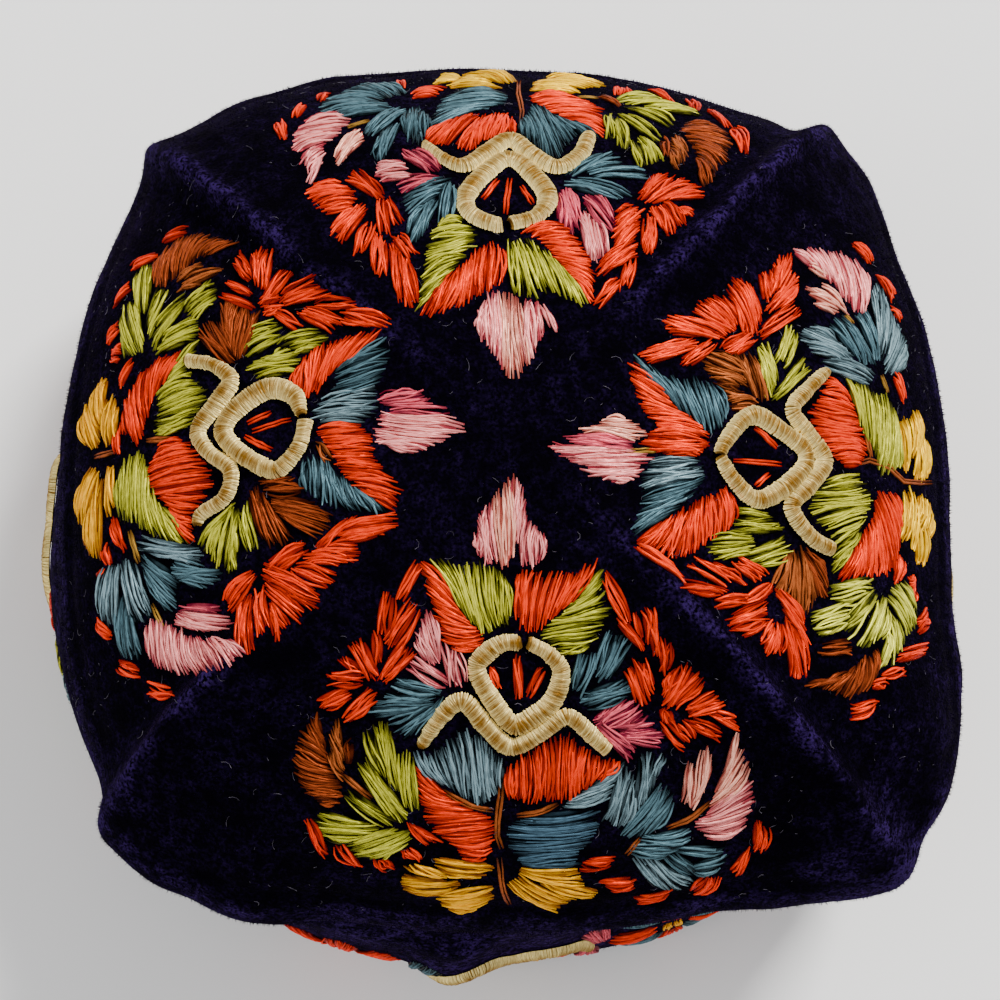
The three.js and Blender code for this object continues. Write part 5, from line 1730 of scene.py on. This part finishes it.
@dataclass
class Band:
    """The upright velvet band under the crown, open at the hem.

    Pairs of millimetres are heights between which something grows or fades.
    """

    # Painted sheen, the same over the whole upright band.
    nap: float = 0.3
    dent_size_mm: float = 20.0
    dent_depth_mm: float = 1.2
    puff_grows_mm: Pair = (8.0, 28.0)
    puff_fades_mm: Pair = (40.0, 48.0)
    tuck_fades_mm: Pair = (4.0, 30.0)
    obj: Object | None = None

    def build(self) -> None:
        """Soften a copy of the band."""
        self.obj = copy_node("band", "velvet_band")
        edit_all(self.obj, lambda: bpy.ops.mesh.tris_convert_to_quads())
        refine(self.obj)
        crumple(self.obj, self.dent_size_mm, self.dent_depth_mm)
        mesh = self.obj.data
        spots = vertex_table(mesh)
        plan = spots[:, :2] / MM - np.array(APEX)
        height = spots[:, 2] / MM
        share = ramp(*self.puff_grows_mm, height) * (1 - ramp(*self.puff_fades_mm, height))
        tucked = 1 - ramp(*self.tuck_fades_mm, height)
        push = puffed(plan, BAND_PUFFS) * share + puffed(plan, BAND_TUCKS) * tucked
        push /= np.hypot(*plan.T)
        spots[:, :2] += plan * push[:, None] * MM
        spots[:, 2] = np.maximum(spots[:, 2], 0)
        move_vertices(mesh, spots)
        keep_values(mesh, "nap", np.full(len(spots), self.nap))
        shade_smooth(self.obj)

    def dress(self, velvet: Material) -> None:
        """Give the band its velvet."""
        self.obj.data.materials.append(velvet)
        settle(self.obj, Slot.VELVET, "band")


@dataclass
class Needlework:
    """The floss silk on one side of the cap, on the crown and on the band."""

    side: Side
    crown: Ground
    band: Ground
    skeins: SkeinBox
    seed: int
    obj: Object | None = None

    def build(self) -> None:
        """Stitch the side's charts."""
        strands = StrandSet(np.random.default_rng(self.seed))
        on_band = band_stitches(self.side.band_silks.split())
        for ground, stitches in ((self.crown, self.side.stitches), (self.band, on_band)):
            needle = Needle(ground, strands)
            for stitch in stitches:
                if isinstance(stitch, Petal):
                    needle.petal(stitch)
                else:
                    needle.stem(stitch)
        self.obj = strands.build(f"needlework_{self.side.name}", self.skeins)

    def dress(self) -> None:
        """Let the needlework ride on the cap."""
        settle(self.obj, Slot.SILK)


@dataclass(frozen=True)
class Wrap:
    """One layer of thread across a cord: its skein, how much narrower it lies, its height and its pitch."""

    thread: Thread
    narrower_mm: float
    height_mm: float
    pitch_mm: float


@dataclass
class WrappedCord:
    """A cream cord couched on the velvet and wrapped closely with silk over its padding."""

    node: str
    ground: Ground
    chart: str
    skeins: SkeinBox
    seed: int
    samples: int = 7
    layers: tuple[Wrap, ...] = (Wrap(Thread.TAN, 0.4, 1.3, 0.8), Wrap(Thread.CREAM, 0.0, 1.55, 0.27))
    # Where the first thread lies, how unevenly they follow in shares of the pitch, and their own size.
    first_mm: float = 0.1
    pitch_scatter: float = 0.1
    thread_width: float = 1.8
    thread_height_mm: float = 0.26
    # The cord's run is measured this far to both sides of a thread, and the cloth's slope this far across.
    run_mm: float = 0.4
    slope_mm: float = 0.5
    # A thread's way over the cord: how far its ends turn down in radians, the power of its hump, how much
    # threads differ in reach, height and slant, and a little more than 1 that keeps their faces upright.
    ends: float = 0.06
    hump_power: float = 0.62
    reach_scatter_mm: float = 0.06
    height_spread: Pair = (0.95, 1.05)
    slant: Pair = (0.12, 0.06)
    upright: float = 1.02
    # The wrapping gets a painted highlight where it turns down at both edges, is darker tan along the middle,
    # and differs in random patches.
    worn_tone: float = 0.12
    edge_tone: float = 0.95
    edge_power: float = 2.6
    patches: int = 24
    patch_scatter: float = 0.07
    tone_scatter: float = 0.11
    obj: Object | None = None

    def build(self) -> None:
        """Lay the padding and wrap it."""
        strands = StrandSet(np.random.default_rng(self.seed), samples=self.samples)
        path, widths = read_cord(self.chart)
        for layer in self.layers:
            self._wrap(strands, path, widths - layer.narrower_mm, layer)
        self.obj = strands.build(f"wrapped_{self.node}", self.skeins)

    def _wrap(self, strands: StrandSet, path: Array, widths: Array, layer: Wrap) -> None:
        """Wrap the cord from end to end with threads that cross it.

        Args:
            strands: Set that gets the threads.
            path: Chart line of the cord's middle, evenly spaced, in millimetres.
            widths: Width of the layer at each point, in millimetres.
            layer: Layer to lay.
        """
        rng = strands.rng
        reach = lengths_along(path)
        at = np.arange(self.first_mm, reach[-1], layer.pitch_mm)
        count = len(at)
        at = at + rng.normal(0, self.pitch_scatter * layer.pitch_mm, count)
        middle = read_off(at, reach, path)
        run = unit(read_off(at + self.run_mm, reach, path) - read_off(at - self.run_mm, reach, path))
        aside = turned_left(run)
        half = 0.5 * np.interp(at, reach, widths) + rng.normal(0, self.reach_scatter_mm, count)
        theta = np.linspace(self.ends, math.pi - self.ends, strands.samples)
        x = -np.cos(theta)[None] * half[:, None]
        hump = np.sin(theta)[None] ** self.hump_power * layer.height_mm
        y = hump * rng.uniform(*self.height_spread, count)[:, None]
        slant = rng.normal(*self.slant, count)[:, None] * x
        spots = middle[:, None] + aside[:, None] * x[..., None] + run[:, None] * slant[..., None]
        place, up = self.ground.lay(spots)
        toward, _ = self.ground.lay(spots + aside[:, None] * self.slope_mm)
        lean = (x / half[:, None])[..., None]
        out = up * np.sqrt(self.upright - np.clip(lean, -1, 1) ** 2) + unit(toward - place) * lean
        size = np.empty((*x.shape, 2))
        size[...] = np.array([self.thread_width * layer.pitch_mm, self.thread_height_mm]) * MM
        patches = np.linspace(0, reach[-1], self.patches)
        worn = np.interp(at, patches, rng.normal(0, self.patch_scatter, self.patches))
        worn = worn + rng.normal(0, self.tone_scatter, count)
        # Painted highlight at both edges of each wrap, over the darker tone of the middle.
        edges = self.edge_tone * np.abs(np.cos(theta))[None] ** self.edge_power
        tone = self.worn_tone + edges + worn[:, None]
        strands.add(place + up * y[..., None] * MM, out, size, layer.thread, np.clip(tone, 0, 1))

    def dress(self) -> None:
        """Let the cord ride on the cap in the place of its solid."""
        settle(self.obj, Slot.SILK, self.node)


@dataclass
class VelvetPile:
    """Short leaning fibres on one cloth, which give the velvet its grain and its soft edge."""

    cloth: Object
    silk: Sequence[Object]
    count: int
    seed: int
    length_mm: float = 0.55
    length_spread: Pair = (0.6, 1.3)
    width_mm: float = 0.16
    root_mm: float = 0.15
    clear_mm: float = 0.7
    # Fibres lean away from a place on the cap's axis, each a little its own way.
    lean_from_mm: float = 100.0
    lean: float = 0.7
    lean_scatter: float = 0.5
    # Painted sheen of the fibres: shares of the cloth's painted sheen, and a few fibres brighter at random.
    nap_spread: Pair = (0.3, 1.7)
    bright_nap: float = 0.3
    bright_power: int = 3
    # A fibre is a closed spike: three corners round its foot, in radians, and its tip.
    foot: tuple[float, ...] = (0.0, 2.094, 4.189)
    faces: tuple[tuple[int, int, int], ...] = ((0, 2, 1), (0, 1, 3), (1, 2, 3), (2, 0, 3))
    obj: Object | None = None

    def build(self) -> None:
        """Set fibres on the cloth's outer side wherever no silk lies over it."""
        rng = np.random.default_rng(self.seed)
        mesh = self.cloth.data
        spots, normals = vertex_table(mesh), vertex_table(mesh, "normal")
        nap = np.empty(len(spots))
        mesh.attributes["nap"].data.foreach_get("value", nap)
        quads = [face for face in mesh.polygons if len(face.vertices) == 4]
        faces = np.array([face.vertices[:] for face in quads])
        area = np.array([face.area for face in quads])
        first = faces[:, 0]
        outer = np.sum(normals[first] * (spots[first] - on_axis(INSIDE_MM)), axis=1) > 0
        faces, area = faces[outer], area[outer]
        chosen = faces[rng.choice(len(faces), self.count, p=area / area.sum())]
        a, b = rng.uniform(0, 1, (2, self.count, 1))
        weights = ((1 - a) * (1 - b), a * (1 - b), a * b, (1 - a) * b)
        tables = (spots, normals, nap[:, None])
        root, up, lit = (sum(w * table[chosen[:, i]] for i, w in enumerate(weights)) for table in tables)
        trees = [surface_tree(obj) for obj in self.silk]
        room = self.clear_mm * MM
        clear = np.array([all(t.find_nearest(spot, room)[0] is None for t in trees) for spot in root])
        self._grow(rng, root[clear], up[clear], lit[clear][:, 0])

    def _grow(self, rng: np.random.Generator, root: Array, up: Array, nap: Array) -> None:
        """Make the mesh of the fibres.

        Args:
            rng: Source of chance.
            root: Places where the fibres stand, in metres.
            up: Directions away from the cloth.
            nap: The cloth's painted sheen at each of them.
        """
        count = len(root)
        up = unit(up)
        away = unit(root - on_axis(self.lean_from_mm))
        heading = unit(up + self.lean * away + rng.normal(0, self.lean_scatter, (count, 3)))
        tip = root + heading * self.length_mm * MM * rng.uniform(*self.length_spread, (count, 1))
        aside = unit(np.cross(up, rng.normal(0, 1, (count, 3))))
        across = np.cross(up, aside)
        foot = root - up * self.root_mm * MM
        half = 0.5 * self.width_mm * MM
        ring = [foot + half * (aside * math.cos(w) + across * math.sin(w)) for w in self.foot]
        points = np.stack([*ring, tip], axis=1)
        points[..., 2] = np.maximum(points[..., 2], 0)
        size = points.shape[1]
        corners = (size * np.arange(count)[:, None, None] + np.array(self.faces)[None]).ravel()
        mesh = mesh_of(f"{self.cloth.name}_pile", points, corners, np.arange(0, len(corners), 3))
        lit = nap * rng.uniform(*self.nap_spread, count)
        lit = lit + self.bright_nap * rng.uniform(0, 1, count) ** self.bright_power
        keep_values(mesh, "nap", np.repeat(lit, size))
        self.obj = show(mesh)

    def dress(self, velvet: Material) -> None:
        """Give the fibres the velvet of their cloth."""
        self.obj.data.materials.append(velvet)
        settle(self.obj, Slot.VELVET)


@dataclass
class StrayFilaments:
    """Pale wisps of silk and lint caught on the pile."""

    grounds: Sequence[Ground]
    skeins: SkeinBox
    count: int = 260
    seed: int = 81
    samples: int = 4
    # They lie this far out on a gore, which widens at this share of the distance up to its full width.
    out_mm: float = 90.0
    nearest: float = 0.01
    widening: float = 0.88
    full_width_at_mm: float = 57.0
    # Most are short and a few are long.
    shortest_mm: float = 0.35
    longer_mm: float = 2.2
    longer_power: int = 3
    curl: float = 1.6
    lift_mm: Pair = (0.1, 0.35)
    width_mm: float = 0.055
    obj: Object | None = None

    def build(self) -> None:
        """Scatter curved wisps over the crown."""
        rng = np.random.default_rng(self.seed)
        strands = StrandSet(rng, samples=self.samples)
        t = np.linspace(0, 1, self.samples)
        for ground in self.grounds:
            out = self.out_mm * np.sqrt(rng.uniform(self.nearest, 1, self.count))
            across = rng.uniform(-self.widening, self.widening, self.count)
            across = across * np.minimum(out, self.full_width_at_mm)
            turn = rng.uniform(0, 2 * math.pi, self.count)
            length = self.shortest_mm + self.longer_mm * rng.uniform(0, 1, self.count) ** self.longer_power
            curl = rng.uniform(-self.curl, self.curl, self.count) * length
            heading = turn[:, None] + curl[:, None] * t[None]
            step = length[:, None] / (self.samples - 1)
            steps = np.stack([np.cos(heading) * step, np.sin(heading) * step], axis=-1)
            place, up = ground.lay(np.cumsum(steps, axis=1) + np.stack([across, out], axis=-1)[:, None])
            lift = rng.uniform(*self.lift_mm, self.count)[:, None, None]
            size = np.full((*place.shape[:2], 2), self.width_mm) * MM
            strands.add(place + up * lift * MM, up, size, Thread.STRAY, rng.uniform(0, 1, place.shape[:2]))
        self.obj = strands.build("stray_filaments", self.skeins)

    def dress(self) -> None:
        """Let the wisps ride on the cap."""
        settle(self.obj, Slot.SILK)


@dataclass(frozen=True)
class SoftLight:
    """A square light: its place and side in metres and its power in watts."""

    name: str
    place: Place
    side: float
    power: float


@dataclass
class Studio:
    """A pale floor, soft lights and a camera high over the cap."""

    floor_size: float = 6.0
    lights: tuple[SoftLight, ...] = (
        SoftLight("key", (0.75, 0.95, 1.5), 0.45, 58.0),
        SoftLight("fill", (-1.2, -0.6, 1.1), 1.4, 12.0),
    )
    lit_place: Place = (0.0, 0.0, 0.06)
    sky: str = "#eef0f6"
    sky_strength: float = 0.85
    target_mm: Place = (-1.135, -5.058, 60.0)
    distance_mm: float = 400.0
    tilt_deg: float = 13.44
    azimuth_deg: float = -7.50
    roll_deg: float = 8.46
    lens_mm: float = 77.3
    sensor_mm: float = 36.0

    def build(self) -> None:
        """Set the floor, the lights, the sky and the camera."""
        bpy.ops.mesh.primitive_plane_add(size=self.floor_size, location=(0, 0, 0))
        floor = bpy.context.object
        floor.name = floor.data.name = "floor"
        floor.data.materials.append(FloorFinish().build())
        for light in self.lights:
            self._hang(light)
        world = bpy.data.worlds.new("soft_sky")
        bpy.context.scene.world = world
        world.use_nodes = True
        tree = world.node_tree
        feed(tree, tree.nodes["Background"], {"Color": linear(self.sky), "Strength": self.sky_strength})
        self._camera()

    def _hang(self, light: SoftLight) -> None:
        """Hang a light that faces the cap.

        Args:
            light: Light to hang.
        """
        bpy.ops.object.light_add(type="AREA", location=light.place)
        lamp = bpy.context.object
        lamp.name = light.name
        lamp.data.size = light.side
        lamp.data.energy = light.power
        heading = Vector(self.lit_place) - Vector(light.place)
        lamp.rotation_euler = heading.to_track_quat("-Z", "Y").to_euler()

    def _camera(self) -> None:
        """Set the camera over the cap, a little to its front and turned a little."""
        azimuth, tilt, roll = (math.radians(a) for a in (self.azimuth_deg, self.tilt_deg, self.roll_deg))
        ahead = Vector((-math.sin(azimuth), math.cos(azimuth), 0))
        back = Vector((0, 0, math.cos(tilt))) - ahead * math.sin(tilt)
        up = (ahead - back * ahead.dot(back)).normalized()
        right = up.cross(back)
        level = right * math.cos(roll) + up * math.sin(roll)
        upright = up * math.cos(roll) - right * math.sin(roll)
        turn = Matrix((level, upright, back)).transposed().to_4x4()
        bpy.ops.object.camera_add()
        camera = bpy.context.object
        eye = Vector(self.target_mm) * MM + back * self.distance_mm * MM
        camera.matrix_world = Matrix.Translation(eye) @ turn
        camera.data.lens = self.lens_mm
        camera.data.sensor_width = self.sensor_mm
        bpy.context.scene.camera = camera


# Fibres on the crown and on the band, and the seeds of everything laid by chance.
PILE_COUNTS = (61000, 9000)
NEEDLEWORK_SEED = 100
CORD_SEED = 200
CORD_SEEDS_A_SIDE = 4
PILE_SEED = 301


def main() -> None:
    """Build the cap piece by piece, then the studio round it."""
    logging.basicConfig(level=logging.INFO, format="%(message)s")
    velvet = VelvetFinish().build()
    skeins = SkeinBox()
    crown, band = Crown(), Band()
    for cloth in (crown, band):
        cloth.build()
        cloth.dress(velvet)
    crown_tree, band_tree = surface_tree(crown.obj), surface_tree(band.obj)
    grounds, silk = [], []
    for index, side in enumerate(SIDES):
        on_crown, on_band = crown_ground(crown_tree, side), band_ground(band_tree, side)
        grounds.append(on_crown)
        pieces = [Needlework(side, on_crown, on_band, skeins, NEEDLEWORK_SEED + index)]
        cords = (("ring", on_crown, side.ring), ("wave", on_crown, side.wave), ("band", on_band, BAND_CORD))
        for number, (kind, ground, chart) in enumerate(cords):
            seed = CORD_SEED + CORD_SEEDS_A_SIDE * index + number
            pieces.append(WrappedCord(f"{kind}_cord_{side.name}", ground, chart, skeins, seed))
        for piece in pieces:
            piece.build()
            piece.dress()
            silk.append(piece.obj)
    for index, (cloth, count) in enumerate(zip((crown, band), PILE_COUNTS)):
        pile = VelvetPile(cloth.obj, silk, count, PILE_SEED + index)
        pile.build()
        pile.dress(velvet)
    stray = StrayFilaments(grounds, skeins)
    stray.build()
    stray.dress()
    Studio().build()


if __name__ == "__main__":
    main()
